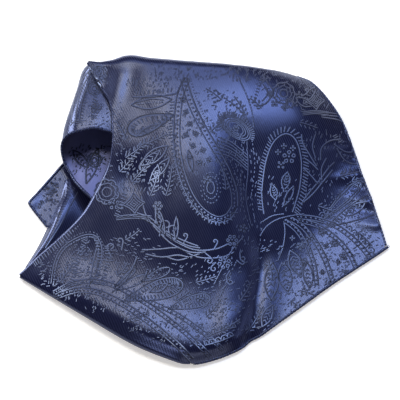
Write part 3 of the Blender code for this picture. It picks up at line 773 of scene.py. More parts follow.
CURL_ROWS_GATHERED = 1.4
# Colours of the reverse: painted light, many times lighter than the face, so the inside of the curl shows
# lit where its roof shades it; the worn colour also carries the random patches of wear.
REVERSE_PAINTED_LIGHT = (0.080, 0.082, 0.175)
REVERSE_WORN_PAINTED_LIGHT = (0.100, 0.102, 0.215)
REVERSE_ROUGHNESS = 0.42


def soft_step(value, start, end):
    """From 0 at one value to 1 at another, without a corner."""
    part = min(max((value - start) / (end - start), 0.0), 1.0)
    return part * part * (3.0 - 2.0 * part)


def curl_point(along, around):
    """A point of the curl, from its closed back to its mouth."""
    back, leftmost, bend, top, underside = table_row(CURL_SECTIONS, along)
    closed_back, rim_back, rise = table_row(CURL_RIM, around)
    if around < CURL_TOP_SHARE:
        across = CURL_TOP_END + (leftmost + bend - CURL_TOP_END) * around / CURL_TOP_SHARE
        high = top
    elif around < CURL_TOP_SHARE + CURL_BEND_SHARE:
        angle = math.pi * (around - CURL_TOP_SHARE) / CURL_BEND_SHARE
        across = leftmost + bend * (1.0 - math.sin(angle))
        high = (top + underside) / 2 + (top - underside) / 2 * math.cos(angle)
    else:
        part = (around - CURL_TOP_SHARE - CURL_BEND_SHARE) / CURL_TOP_SHARE
        across = leftmost + bend + (CURL_FLOOR_END - leftmost - bend) * part
        high = underside
    start = CURL_SECTIONS[0][1]
    end = CURL_SECTIONS[-1][1]
    travel = (start - back) / (start - end)
    stretch = closed_back + (rim_back - closed_back) * travel
    lift = CURL_FLOOR_LIFT * soft_step(around, *CURL_LIFT_AROUND) * soft_step(travel, *CURL_LIFT_TRAVEL)
    stretch -= lift * math.cos(SIGHT_ANGLE) / math.sin(SIGHT_ANGLE)
    return Vector((across, stretch, high + rise * max(travel, 0.0) ** CURL_RISE_POWER + lift))


def curl_net():
    """Points and cells of the curl."""
    points = {}
    laid = {}
    for row in range(CURL_ROWS + 1):
        along = (row / CURL_ROWS) ** CURL_ROWS_GATHERED
        travel = 0.0
        before = curl_point(along, 0.0)
        for column in range(CURL_COLUMNS + 1):
            around = column / CURL_COLUMNS
            point = curl_point(along, around)
            travel += (point - before).length
            before = point
            laid[column, row] = Vector((CURL_TOP_END - travel, point.y))
            points[column, row] = point
    for column in range(CURL_COLUMNS + 1):
        edge, inner, beyond = [(column, CURL_ROWS + step) for step in (0, -1, 1)]
        run_into_hem(points, laid, edge, inner, beyond)
    return points, laid, cells_of(points)


curl_points = curl_net()
# The inside faces of the curl take the reverse, whose colour is painted light for the inside of the tube.
reverse_painted_light_silk = silk_finish(
    "navy_satin_reverse", REVERSE_PAINTED_LIGHT, REVERSE_WORN_PAINTED_LIGHT, RIB_HIGH, rough=REVERSE_ROUGHNESS,
)
curl = silk_shell("curl_silk", curl_points, navy_satin, reverse_painted_light_silk)
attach(curl, "root")
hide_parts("curl")

# The strip: a narrow stretch of the same silk that shows between the pointed fold
# and the tail, where the lower layer is drawn up to a low ridge under the crest.
STRIP_SECTIONS = (
    # along, edge across, edge back, edge high, ridge across, ridge back, ridge
    # high, inner across, inner back
    (0.00, -96.5, 26.0, 2.6, -91.0, 27.0, 2.8, -70.0, 19.0),
    (0.18, -98.5, 12.5, 2.6, -93.0, 13.0, 5.2, -68.0, 2.0),
    (0.42, -103.6, 0.5, 2.4, -97.0, 0.5, 7.4, -70.0, -14.0),
    (0.65, -108.8, -13.5, 1.6, -102.5, -15.0, 7.6, -82.0, -26.0),
    (0.84, -115.1, -28.0, 1.5, -109.5, -28.5, 6.2, -91.0, -36.0),
    (1.00, -122.6, -42.0, 1.4, -119.5, -41.0, 3.0, -110.0, -43.0),
)
STRIP_RIDGE_SHARE = 0.45
STRIP_FOOT_SHARE = 0.80
STRIP_FOOT_INWARD = 0.6
STRIP_FOOT_HIGH = 1.4
STRIP_COLUMNS = 90
STRIP_ROWS = 44


def strip_point(along, inward):
    """A point of the strip, from its edge over its ridge to the crest."""
    row = table_row(STRIP_SECTIONS, along)
    foot = [
        ridge + STRIP_FOOT_INWARD * (inner - ridge)
        for ridge, inner in ((row[3], row[6]), (row[4], row[7]))
    ]
    profile = (
        (0.0, *row[:3]),
        (STRIP_RIDGE_SHARE, *row[3:6]),
        (STRIP_FOOT_SHARE, *foot, STRIP_FOOT_HIGH),
        (1.0, row[6], row[7], STRIP_FOOT_HIGH),
    )
    return Vector(table_row(profile, inward))


strip_points = {}
for column in range(STRIP_COLUMNS + 1):
    for row in range(STRIP_ROWS + 1):
        strip_points[column, row] = strip_point(column / STRIP_COLUMNS, row / STRIP_ROWS)
strip_laid = {name: point.xy for name, point in strip_points.items()}
strip = silk_shell("strip_silk", (strip_points, strip_laid, cells_of(strip_points)), navy_satin)
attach(strip, "root")
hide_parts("strip")

# The tail: a corner of the square that lies flat on the table, past the curl. Its
# two cut edges are rolled and whipped, and meet at a tip that stands up a little.
TAIL_TIP = Vector((-119.1, 8.4))
TAIL_FRONT = Vector((-94.6, -26.7))
TAIL_BACK = Vector((-78.0, 63.0))
TAIL_FAR = Vector((-66.0, 32.0))
TAIL_TIP_RISE = 1.2
TAIL_TIP_REACH = 0.12
TAIL_CELLS = 56


def tail_point(to_front, to_back):
    """A point of the tail, whose tip is lifted a little off the table."""
    near = TAIL_TIP.lerp(TAIL_FRONT, to_front)
    far = TAIL_BACK.lerp(TAIL_FAR, to_front)
    where = near.lerp(far, to_back)
    reach = math.hypot(to_front, to_back)
    rise = TAIL_TIP_RISE * math.exp(-((reach / TAIL_TIP_REACH) ** 2))
    return Vector((where.x, where.y, WALL + rise))


tail_points = {}
for column in range(TAIL_CELLS + 1):
    for row in range(TAIL_CELLS + 1):
        tail_points[column, row] = tail_point(column / TAIL_CELLS, row / TAIL_CELLS)
tail_laid = {name: point.xy for name, point in tail_points.items()}
for step in range(TAIL_CELLS + 1):
    run_into_hem(tail_points, tail_laid, (step, 0), (step, 1), (step, -1))
    run_into_hem(tail_points, tail_laid, (0, step), (1, step), (-1, step))
tail = silk_shell("tail_silk", (tail_points, tail_laid, cells_of(tail_points)), navy_satin)
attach(tail, "root")
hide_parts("tail")

# The hidden folds: the rest of the square, layered out of sight under the upper
# sheet. It is the same silk in shade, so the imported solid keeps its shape.
HIDDEN = (0.010, 0.013, 0.045)
HIDDEN_WORN = (0.015, 0.019, 0.060)

hidden_silk = silk_finish("navy_satin_hidden", HIDDEN, HIDDEN_WORN, RIB_HIGH, False)
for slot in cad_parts["under_layers"].material_slots:
    slot.material = hidden_silk


# The hems: the square's cut edges, rolled by hand to a soft round cord of silk and
# whipped at short steps with a thread that pulls the roll in where it goes round.
HEM_SIDES = 14
HEM_STEP = 0.5
WHIP_PITCH = 2.6
WHIP_PULL = 0.10
HEM_FULL = 0.93
HEM_UNEVEN = 0.09
HEM_SWELL_STEPS = 8
HEM_BLUNT = 0.2
TAIL_HEM_FRONT = 0.50
TAIL_HEM_BACK = 0.69
HEM_DARK = (0.008, 0.010, 0.032)
HEM_WORN = (0.014, 0.017, 0.050)


def hem_beside(edge, inner):
    """The route of a hem that lies a seam gap beyond the edge of a shell."""
    route = []
    for number, point in enumerate(edge):
        before = edge[max(number - 1, 0)]
        after = edge[min(number + 1, len(edge) - 1)]
        run = (after - before).normalized()
        outward = point - inner[number]
        outward = (outward - run * outward.dot(run)).normalized()
        centre = point + outward * (SEAM_GAP + HEM_RADIUS) - run.cross(outward) * WALL / 2
        centre.z = max(centre.z, HEM_RADIUS)
        route.append(centre)
    return route


def evenly(route, step):
    """The same route with a point at every step of its length."""
    travel = [0.0]
    for before, after in zip(route, route[1:]):
        travel.append(travel[-1] + (after - before).length)
    count = max(round(travel[-1] / step), 1)
    even = []
    index = 0
    for number in range(count + 1):
        here = travel[-1] * number / count
        while index < len(route) - 2 and here > travel[index + 1]:
            index += 1
        part = (here - travel[index]) / (travel[index + 1] - travel[index])
        even.append(route[index].lerp(route[index + 1], part))
    return even


def hem_piece(name, route, finish, seed):
    """A rolled hem: a closed uneven cord along a route, pulled in at each stitch."""
    route = evenly(route, HEM_STEP)
    chance = random.Random(seed)
    swells = [chance.uniform(-1.0, 1.0) for _ in range(len(route) // HEM_SWELL_STEPS + 3)]
    vertices = []
    side = (route[1] - route[0]).cross(Vector((0.0, 0.0, 1.0)))
    for number, point in enumerate(route):
        before = route[max(number - 1, 0)]
        after = route[min(number + 1, len(route) - 1)]
        run = (after - before).normalized()
        side = (side - run * side.dot(run)).normalized()
        lift = side.cross(run)
        near_end = min(number, len(route) - 1 - number) * HEM_STEP
        part = number / HEM_SWELL_STEPS % 1.0
        swell, next_swell = swells[number // HEM_SWELL_STEPS:][:2]
        swell = swell * (1.0 - part) + next_swell * part
        pull = math.cos(2 * math.pi * number * HEM_STEP / WHIP_PITCH)
        radius = HEM_RADIUS * (HEM_FULL + HEM_UNEVEN * swell - WHIP_PULL * max(pull, 0.0))
        radius *= math.sqrt(1.0 - max(1.0 - (near_end + HEM_BLUNT) / HEM_RADIUS, 0.0) ** 2)
        for step in range(HEM_SIDES):
            angle = 2 * math.pi * (step + 0.5) / HEM_SIDES
            spoke = side * math.cos(angle) + lift * math.sin(angle)
            vertices.append((point + spoke * radius - HEAP_MIDDLE) * MILLIMETRE)
    faces = [list(range(HEM_SIDES))]
    for number in range(len(route) - 1):
        start = number * HEM_SIDES
        for step in range(HEM_SIDES):
            follow = (step + 1) % HEM_SIDES
            near = [start + follow, start + step]
            faces.append(near + [start + HEM_SIDES + step, start + HEM_SIDES + follow])
    end = (len(route) - 1) * HEM_SIDES
    faces.append([end + step for step in reversed(range(HEM_SIDES))])
    mesh = bpy.data.meshes.new(name)
    mesh.from_pydata(vertices, [], faces)
    mesh.shade_smooth()
    mesh.materials.append(finish)
    piece = placed(name, mesh)
    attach(piece, "root")
    return piece


sheet_points = sheet_net[0]
last_column = len(finer(SHEET_COLUMNS)) - 1
last_row = len(finer(SHEET_ROWS)) - 1
first_column = finer(SHEET_COLUMNS).index(FRONT_FOLD_END) + 2
columns = range(last_column, first_column - 1, -1)
front_route = hem_beside(
    [sheet_points[column, 0] for column in columns],
    [sheet_points[column, FINER] for column in columns],
)
front_route.insert(0, front_route[0] + (front_route[0] - front_route[1]).normalized() * HEM_WIDTH)

hem_silk = silk_finish("navy_hem_roll", HEM_DARK, HEM_WORN, RIB_HIGH, False)
hem_front = hem_piece("hem_front_roll", front_route, hem_silk, seed=11)
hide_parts("hem_front")

rows = range(last_row + TURN_STEPS + DROP_STEPS, 1, -1)
right_route = hem_beside(
    [sheet_points[last_column, row] for row in rows],
    [sheet_points[last_column - FINER, row] for row in rows],
)
hem_right = hem_piece("hem_right_roll", right_route, hem_silk, seed=12)
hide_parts("hem_right")

columns = range(CURL_COLUMNS + 1)
curl_route = hem_beside(
    [curl_points[0][column, CURL_ROWS] for column in columns],
    [curl_points[0][column, CURL_ROWS - 2] for column in columns],
)
hem_curl = hem_piece("hem_curl_roll", curl_route, hem_silk, seed=13)
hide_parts("hem_curl")

front_reach = round(TAIL_HEM_FRONT * TAIL_CELLS)
back_reach = round(TAIL_HEM_BACK * TAIL_CELLS)
edge = [(column, 0) for column in range(front_reach, 0, -1)]
inner = [(column, 1) for column, row in edge]
edge += [(0, row) for row in range(back_reach + 1)]
inner += [(1, max(row, 1)) for row in range(back_reach + 1)]
tail_route = hem_beside([tail_points[name] for name in edge], [tail_points[name] for name in inner])
hem_tail = hem_piece("hem_tail_roll", tail_route, hem_silk, seed=14)
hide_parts("hem_tail")

# The whip stitches: one silk thread that goes round the roll again and again, and
# shows as a short slanted stitch every few millimetres along all four hems.
STITCH_RING = 0.86
STITCH_THREAD = 0.17
STITCH_LEAN = 32.0
STITCH_STRAY = 7.0
RING_CORNERS = 12
THREAD_CORNERS = 5
THREAD = (0.040, 0.046, 0.120)
THREAD_WORN = (0.062, 0.070, 0.165)


def whip_stitch_nodes():
    """Nodes that set leaning rings of thread along a line of edges."""
    tree = bpy.data.node_groups.new("whip_stitches", "GeometryNodeTree")
    tree.interface.new_socket("Geometry", in_out="INPUT", socket_type="NodeSocketGeometry")
    for name in ("Pitch", "Ring", "Thread", "Lean", "Stray"):
        tree.interface.new_socket(name, in_out="INPUT", socket_type="NodeSocketFloat")
    tree.interface.new_socket("Seed", in_out="INPUT", socket_type="NodeSocketInt")
    tree.interface.new_socket("Material", in_out="INPUT", socket_type="NodeSocketMaterial")
    tree.interface.new_socket("Geometry", in_out="OUTPUT", socket_type="NodeSocketGeometry")
    ask = tree.nodes.new("NodeGroupInput").outputs
    give = tree.nodes.new("NodeGroupOutput").inputs

    def add(kind, **sockets):
        node = tree.nodes.new(kind)
        for name, value in sockets.items():
            socket = node.inputs[name.replace("_", " ")]
            if isinstance(value, bpy.types.NodeSocket):
                tree.links.new(value, socket)
            else:
                socket.default_value = value
        return node

    path = add("GeometryNodeMeshToCurve", Mesh=ask["Geometry"])
    spots = add("GeometryNodeCurveToPoints", Curve=path.outputs["Curve"])
    spots.mode = "LENGTH"
    tree.links.new(ask["Pitch"], spots.inputs["Length"])
    ring = add("GeometryNodeCurvePrimitiveCircle", Resolution=RING_CORNERS, Radius=ask["Ring"])
    cord = add("GeometryNodeCurvePrimitiveCircle", Resolution=THREAD_CORNERS, Radius=ask["Thread"])
    stitch = add("GeometryNodeCurveToMesh", Curve=ring.outputs["Curve"])
    tree.links.new(cord.outputs["Curve"], stitch.inputs["Profile Curve"])
    stray = tree.nodes.new("FunctionNodeRandomValue")
    tree.links.new(ask["Seed"], stray.inputs["Seed"])
    floats = [socket for socket in stray.inputs if socket.type == "VALUE"]
    floats[0].default_value = -1.0
    floats[1].default_value = 1.0
    stray_value = next(socket for socket in stray.outputs if socket.type == "VALUE")
    swing = tree.nodes.new("ShaderNodeMath")
    swing.operation = "MULTIPLY_ADD"
    tree.links.new(stray_value, swing.inputs[0])
    tree.links.new(ask["Stray"], swing.inputs[1])
    tree.links.new(ask["Lean"], swing.inputs[2])
    lean = tree.nodes.new("ShaderNodeCombineXYZ")
    tree.links.new(swing.outputs["Value"], lean.inputs["X"])
    turned = tree.nodes.new("FunctionNodeRotateRotation")
    turned.rotation_space = "LOCAL"
    tree.links.new(spots.outputs["Rotation"], turned.inputs["Rotation"])
    tree.links.new(lean.outputs["Vector"], turned.inputs["Rotate By"])
    rings = stitch.outputs["Mesh"]
    laid = add("GeometryNodeInstanceOnPoints", Points=spots.outputs["Points"], Instance=rings)
    tree.links.new(turned.outputs["Rotation"], laid.inputs["Rotation"])
    laid.inputs["Scale"].default_value = (1.0, 1.0 / math.cos(math.radians(STITCH_LEAN)), 1.0)
    made = add("GeometryNodeRealizeInstances", Geometry=laid.outputs["Instances"])
    tinted = add("GeometryNodeSetMaterial", Geometry=made.outputs["Geometry"])
    tree.links.new(ask["Material"], tinted.inputs["Material"])
    tree.links.new(tinted.outputs["Geometry"], give["Geometry"])
    return tree


stitch_nodes = whip_stitch_nodes()
stitch_silk = silk_finish("navy_hem_thread", THREAD, THREAD_WORN, 0.0, False)


def whip_stitches(name, route, seed):
    """The thread of one hem, as a plain mesh."""
    route = [(point - HEAP_MIDDLE) * MILLIMETRE for point in evenly(route, HEM_STEP)]
    mesh = bpy.data.meshes.new(name + "_line")
    mesh.from_pydata(route, [(number, number + 1) for number in range(len(route) - 1)], [])
    line = placed(name + "_line", mesh)
    modifier = line.modifiers.new("stitches", "NODES")
    modifier.node_group = stitch_nodes
    settings = {
        "Pitch": WHIP_PITCH * MILLIMETRE,
        "Ring": STITCH_RING * HEM_RADIUS * MILLIMETRE,
        "Thread": STITCH_THREAD * MILLIMETRE,
        "Lean": math.radians(STITCH_LEAN),
        "Stray": math.radians(STITCH_STRAY),
        "Seed": seed,
        "Material": stitch_silk,
    }
    for socket in stitch_nodes.interface.items_tree:
        if socket.in_out == "INPUT" and socket.name in settings:
            modifier[socket.identifier] = settings[socket.name]
    graph = bpy.context.evaluated_depsgraph_get()
    made = bpy.data.meshes.new_from_object(line.evaluated_get(graph))
    made.name = name
    bpy.data.objects.remove(line)
    bpy.data.meshes.remove(mesh)
    made.shade_smooth()
    piece = placed(name, made)
    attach(piece, "root")
    return piece


stitches_front = whip_stitches("hem_front_stitches", front_route, seed=21)
stitches_right = whip_stitches("hem_right_stitches", right_route, seed=22)
stitches_curl = whip_stitches("hem_curl_stitches", curl_route, seed=23)
stitches_tail = whip_stitches("hem_tail_stitches", tail_route, seed=24)

# The woven figure: paisleys, leaves, flowers and dotted bands that stand in the same
# silk, floated on the other thread, so they lie a hair above the ground and take the
# light at another angle. Each line is drawn as it is seen and laid on the cloth there.
# Beside each line runs a near-black ribbon on its front-right side: painted shade for
# the shadow of the raised thread.
FIGURE_SEED = 5
FIGURE_STEP = 1.0
CLOSE_STEP = 0.8
FIGURE_HIGH = 0.06
FIGURE_SUNK = 0.04
FIGURE_TILT = math.tan(math.radians(20.0))
LEAST_FACING = 0.2
MAP_MARGIN = 0.01
MAP_SIZE = 0.95
MAP_SPARE = (0.98, 0.98)
# Each line is two ribbons: the lit part, which catches the light through its tilted normals, and the shaded
# part, a near-black stripe of painted shade beside it.
LIT_PART = (-0.60, 0.10)
SHADED_PART = (0.12, 0.70)
SHADED_SIDE = Vector((0.6, -0.8, 0.0))
LOOSE_LINE = 0.7
FINE_LINE = 0.85
PLAIN_LINE = 1.05
BOLD_LINE = 1.5
FAR_OFF = 400.0
STEEPEST_JUMP = 5.0
# each view: where it starts, the way across it, the way up it and the way to the viewer
SEEN_FRONT = (
    Vector(), Vector((1.0, 0.0, 0.0)), Vector((0.0, 1.0 / math.sin(SIGHT_ANGLE), 0.0)), toward_camera,
)
SEEN_BACK, SEEN_LEFT = [
    [Vector(place) for place in view] for view in (
        ((0.0, 95.0, 0.0), (1.0, 0.0, 0.0), (0.0, 0.0, 1.0), (0.0, 0.94, 0.34)),
        ((-90.0, 80.0, 0.0), (0.43, 0.90, 0.0), (0.0, 0.0, 1.0), (-0.85, 0.41, 0.33)),
    )
]
seen_from = SEEN_FRONT
figure_lines = []
chance = random.Random(FIGURE_SEED)


def smooth_line(points, step=FIGURE_STEP):
    """A smooth line through points, with a point at every step."""
    points = [Vector(point) for point in points]
    line = []
    for index in range(len(points) - 1):
        before = points[max(index - 1, 0)]
        start, end = points[index], points[index + 1]
        after = points[min(index + 2, len(points) - 1)]
        count = max(round((end - start).length / step), 1)
        for number in range(count):
            part = number / count
            line.append(0.5 * (
                2 * start + (end - before) * part
                + (2 * before - 5 * start + 4 * end - after) * part ** 2
                + (3 * start - before - 3 * end + after) * part ** 3
            ))
    return line + [points[-1]]


def beside(line, away):
    """A line that runs beside another, at its left by a distance."""
    moved = []
    for number, point in enumerate(line):
        run = line[min(number + 1, len(line) - 1)] - line[max(number - 1, 0)]
        run = run.normalized() if run.length > 0.0 else Vector((1.0, 0.0))
        moved.append(point + Vector((-run.y, run.x)) * away)
    return moved


def draw(line, wide=PLAIN_LINE):
    """One woven line."""
    figure_lines.append((line, wide, seen_from))


def curve(points, wide=PLAIN_LINE, step=FIGURE_STEP):
    """One smooth woven line through points."""
    draw(smooth_line(points, step), wide)


def ticks(line, pitch, start, end, lean=0.0, wide=FINE_LINE):
    """Short strokes across a line, from one distance beside it to another."""
    near, far = beside(line, start), beside(line, end)
    every = max(round(pitch / FIGURE_STEP), 1)
    for number in range(0, len(line), every):
        run = line[min(number + 1, len(line) - 1)] - line[max(number - 1, 0)]
        draw([near[number], far[number] + run.normalized() * lean], wide)


def beads(line, away, pitch, size, wide):
    """A row of round dots beside a line."""
    every = max(round(pitch / FIGURE_STEP), 1)
    for number in range(0, len(line) - 1, every):
        run = (line[number + 1] - line[number]).normalized()
        middle = line[number] + Vector((-run.y, run.x)) * away
        draw([middle - run * size / 2, middle + run * size / 2], wide)


def fringe(points, pitch, start, end, lean=0.0, wide=FINE_LINE):
    """Short strokes across a smooth line that isn't drawn itself."""
    ticks(smooth_line(points), pitch, start, end, lean, wide)


def dots(points, pitch, size, wide):
    """A row of round dots on a smooth line."""
    beads(smooth_line(points), 0.0, pitch, size, wide)


def band(points, gap, bead=1.1, wide=PLAIN_LINE):
    """Two lines with a row of dots between them."""
    line = smooth_line(points)
    draw(line, wide)
    draw(beside(line, gap), FINE_LINE)
    beads(line, gap / 2, 3.0, bead, 1.5)
    return line


def scallops(line, away, pitch, high):
    """A border of small arches beside a line."""
    every = max(round(pitch / FIGURE_STEP), 2)
    outer = beside(line, away + high)
    inner = beside(line, away)
    for number in range(0, len(line) - every, every):
        middle = number + every // 2
        arch = [inner[number], outer[middle - 1], outer[middle + 1], inner[number + every]]
        curve(arch, FINE_LINE, CLOSE_STEP)
        draw([inner[middle], inner[middle].lerp(outer[middle], 0.55)], FINE_LINE)


def drop_shape(tip, end, half_width, bow=0.0):
    """The outline of a paisley from its tip round its full end and back."""
    tip, end = Vector(tip), Vector(end)
    length = (end - tip).length
    ahead = (end - tip).normalized()
    aside = Vector((-ahead.y, ahead.x))
    outline = []
    count = max(round(2.2 * (length + half_width) / FIGURE_STEP), 12)
    for number in range(count + 1):
        angle = 2 * math.pi * number / count
        along = (1.0 - math.cos(angle)) / 2
        out = half_width * math.sin(angle) * abs(math.sin(angle / 2)) ** 1.2 * 1.25
        out += bow * (1.0 - along) ** 2
        outline.append(tip + ahead * along * length + aside * out)
    return outline


def flower(centre, radius, petals, turn=0.0, squash=1.0):
    """A round flower: looped petals round a ring, with an eye."""
    centre = Vector(centre)
    for number in range(petals):
        angle = turn + 2 * math.pi * number / petals
        ahead = Vector((math.cos(angle), math.sin(angle) * squash))
        aside = Vector((-ahead.y, ahead.x))
        heart, sides = centre + ahead * radius * 0.35, centre + ahead * radius * 0.75
        curve([
            heart, sides + aside * radius * 0.30, centre + ahead * radius,
            sides - aside * radius * 0.30, heart,
        ], FINE_LINE, CLOSE_STEP)
    draw([centre - Vector((0.5, 0.0)), centre + Vector((0.5, 0.0))], BOLD_LINE)


def carnation(centre, size, turn=0.0):
    """A full flower: scalloped rounds, one in another, with notched petals."""
    centre = Vector(centre)
    for share, lobes, wide in ((1.0, 9, PLAIN_LINE), (0.68, 7, FINE_LINE), (0.36, 5, FINE_LINE)):
        count = round(44 * share) + 10
        line = []
        for number in range(count + 1):
            angle = 2 * math.pi * number / count
            reach = size * share * (0.86 + 0.14 * abs(math.sin(lobes * angle / 2 + turn)) ** 0.5)
            line.append(centre + Vector((math.cos(angle + turn), math.sin(angle + turn))) * reach)
        draw(line, wide)
    for number in range(9):
        angle = 2 * math.pi * (number + 0.5) / 9 + turn
        ahead = Vector((math.cos(angle), math.sin(angle)))
        draw([centre + ahead * size * 0.74, centre + ahead * size * 0.92], FINE_LINE)


def leaf(start, end, half_width, veins=True):
    """A pointed leaf with veins."""
    start, end = Vector(start), Vector(end)
    ahead = end - start
    aside = Vector((-ahead.y, ahead.x)).normalized() * half_width
    upper = smooth_line([start, start + ahead * 0.3 + aside * 0.9, start + ahead * 0.65 + aside, end])
    lower = smooth_line([start, start + ahead * 0.3 - aside * 0.9, start + ahead * 0.65 - aside, end])
    draw(upper)
    draw(lower)
    if veins:
        for share in (0.25, 0.4, 0.55, 0.7):
            root = start + ahead * share
            draw([root, root + ahead * 0.09 + aside * 0.55], FINE_LINE)
            draw([root, root + ahead * 0.09 - aside * 0.55], FINE_LINE)


def hook(start, ahead, size, way):
    """A small scroll: a stem that curls in at its end."""
    start, ahead = Vector(start), Vector(ahead).normalized()
    aside = Vector((-ahead.y, ahead.x)) * way
    line = [start, start + ahead * size]
    for number in range(1, 7):
        angle = number * 0.9
        reach = size * 0.42 * (1.0 - number / 9)
        middle = start + ahead * size + aside * size * 0.42
        line.append(middle + ahead * math.sin(angle) * reach - aside * math.cos(angle) * reach)
    curve(line, step=CLOSE_STEP)


def speckle(corner_low, corner_high, count, length, ahead=(0.25, 1.0), wide=LOOSE_LINE):
    """Loose short strokes over a patch."""
    ahead = Vector(ahead).normalized()
    for _ in range(count):
        high = chance.random()
        across = corner_low[0] + (corner_high[0] - corner_low[0]) * chance.random()
        middle = Vector((across, corner_low[1] + (corner_high[1] - corner_low[1]) * high))
        lean = ahead + Vector((chance.uniform(-0.5, 0.5), chance.uniform(-0.5, 0.5)))
        half = lean.normalized() * length * chance.uniform(0.35, 0.65)
        draw([middle - half, middle + half], wide)


def sprig(start, end, size, pitch=2.6):
    """A stem with short slanted leaves in pairs, each a little its own size."""
    start, end = Vector(start), Vector(end)
    line = smooth_line([start, start.lerp(end, 0.5) + Vector((size * 0.25, 0.0)), end])
    draw(line, FINE_LINE)
    every = max(round(pitch / FIGURE_STEP), 1)
    for number in range(1, len(line) - 1, every):
        run = (line[number + 1] - line[number]).normalized()
        aside = Vector((-run.y, run.x))
        long = size * (1.0 - 0.6 * number / len(line)) * chance.uniform(0.8, 1.2)
        for side in (-1.0, 1.0):
            root = line[number] + aside * side * 0.9
            draw([root, root + (aside * side + run).normalized() * long])


def trellis(middle, size, base):
    """A little pavilion: framed lozenges with an eye, over a stepped base line."""
    middle = Vector(middle)
    for share, wide in ((1.0, PLAIN_LINE), (0.66, FINE_LINE), (0.34, FINE_LINE)):
        corners = [
            middle + Vector((across, up)) * size * share
            for across, up in ((0.0, 1.0), (1.0, 0.1), (0.1, -0.9), (-1.0, -0.1), (0.0, 1.0))
        ]
        for start, end in zip(corners, corners[1:]):
            inward = (middle - start.lerp(end, 0.5)) * 0.16
            curve([start, start.lerp(end, 0.5) + inward, end], wide)
    draw([middle - Vector((0.6, 0.0)), middle + Vector((0.6, 0.0))], BOLD_LINE)
    for step in range(3):
        drop = Vector((0.0, -size * (1.05 + 0.16 * step)))
        sags = ((-1.0, -0.6), (0.0, 0.5), (1.0, -0.4))
        curve([middle + drop + Vector((along * base, sag)) for along, sag in sags], FINE_LINE)
    post = ((-base, -size * 1.1), (-base * 0.72, 0.0), (-base * 0.5, size))
    fringe([middle + Vector(point) for point in post], 2.2, -1.6, 1.6)
    for step in range(7):
        root = middle + Vector(((step - 3) * size * 0.30, size * 1.12))
        draw([root, root + Vector(((step - 3) * 0.5, 2.8))], FINE_LINE)


def stems(lines, wide=PLAIN_LINE):
    """Long smooth stems."""
    for points in lines:
        curve(points, wide)


# The great paisley down the middle of the sheet
left_side = band((
    (-14.4, 94.6), (-19.2, 82.2), (-21.2, 65.1), (-21.2, 48.0), (-18.5, 30.9), (-12.3, 13.7),
    (-3.4, 1.4), (7.6, -4.8), (16.5, -2.7), (21.9, 4.8),
), 4.2, 1.3)
right_side = band(
    ((22.6, 6.2), (21.9, 17.2), (16.5, 32.2), (7.6, 48.0), (-1.3, 63.7), (-8.2, 78.8), (-13.0, 94.6)),
    4.2, 1.3,
)
beads(beside(right_side, -2.6), 0.0, 2.2, 0.7, 0.9)
scallops(left_side[40:], -2.2, 5.0, 3.0)
ticks(left_side[18:44], 2.4, -0.8, -3.6, 0.6)
for radius in (3.2, 6.0, 8.4):
    ring = [
        Vector((4.1, 18.5))
        + Vector((math.cos(number / 12) * radius * 0.8, math.sin(number / 12) * radius * 1.25))
        for number in range(0, 76)
    ]
    beads(ring, 0.0, 2.0 + radius / 4, 1.1, 0.9)
flower((1.4, 24.0), 3.0, 5)
for across, up in (
    (-15.0, 78.8), (-13.0, 70.6), (-10.2, 62.4), (-6.1, 55.5), (-13.0, 54.8), (-8.2, 47.3),
    (-1.3, 44.5), (-10.9, 39.1), (-4.1, 35.6), (2.8, 37.7),
):
    flower((across, up), 2.0, 4, across)
speckle((-15.7, 27.4), (2.1, 72.0), 46, 2.0, (0.1, 1.0))
leaf((-8.9, 29.5), (-11.6, 44.5), 1.6, False)

# Leaves and small paisleys beside it
curve(((-49.3, 80.9), (-37.6, 80.9), (-26.7, 82.2), (-19.8, 83.6), (-17.1, 88.4), (-13.7, 94.6)))
fringe(((-47.2, 81.5), (-37.6, 81.5), (-22.6, 83.6)), 3.0, 0.8, 4.0, 0.8)
leaf((-22.6, 79.5), (-50.7, 75.4), 4.2, False)
dots(((-45.9, 76.1), (-37.6, 76.7), (-28.7, 77.4)), 2.4, 1.0, 1.1)
curve(((-48.6, 76.7), (-37.6, 79.5), (-28.1, 78.8)), FINE_LINE)
small = drop_shape((-22.6, 71.3), (-52.0, 56.9), 6.6, 3.0)
draw(small, BOLD_LINE)
ticks(small[10:-8], 2.6, -1.2, -4.2, 0.6, PLAIN_LINE)
leaf((-47.2, 53.5), (-32.2, 62.4), 1.6)
flower((-42.4, 58.2), 2.4, 4)
for radius in (4.4, 5.8, 7.4, 8.6):
    middle = Vector((21.3, 59.6))
    tilt, aside = Vector((0.79, -0.61)), Vector((0.61, 0.79))
    ring = [
        middle + tilt * math.cos(number / 14) * radius * 1.35
        + aside * math.sin(number / 14) * radius * 0.72
        for number in range(0, 89)
    ]
    draw(ring, FINE_LINE)
    if radius > 8.0:
        ticks(ring[:60], 2.4, -0.6, -3.0, 0.4)
flower((21.3, 59.6), 2.4, 6)
for step in range(6):
    drop = 2.1 * step
    curve(((8.9 - 0.7 * step, 53.5 - drop), (17.8, 50.0 - drop), (28.8, 41.1 - drop)), FINE_LINE)
dots(((7.6, 85.7), (14.4, 79.5), (21.3, 74.7), (28.1, 66.5), (32.2, 54.8)), 2.4, 1.6, 0.9)
dots(((24.0, 92.5), (28.8, 81.5), (32.2, 70.6), (33.6, 59.6)), 2.4, 1.6, 0.9)
leaf((-25.3, 47.3), (-43.8, 33.6), 3.6)
leaf((-23.9, 39.1), (-37.6, 23.3), 2.6)
draw(drop_shape((-30.8, 45.9), (-44.5, 30.9), 3.4, 1.0), FINE_LINE)
hook((-32.2, 35.0), (0.3, -1.0), 6.0, -1.0)
hook((-36.3, 24.0), (1.0, 0.2), 4.0, 1.0)
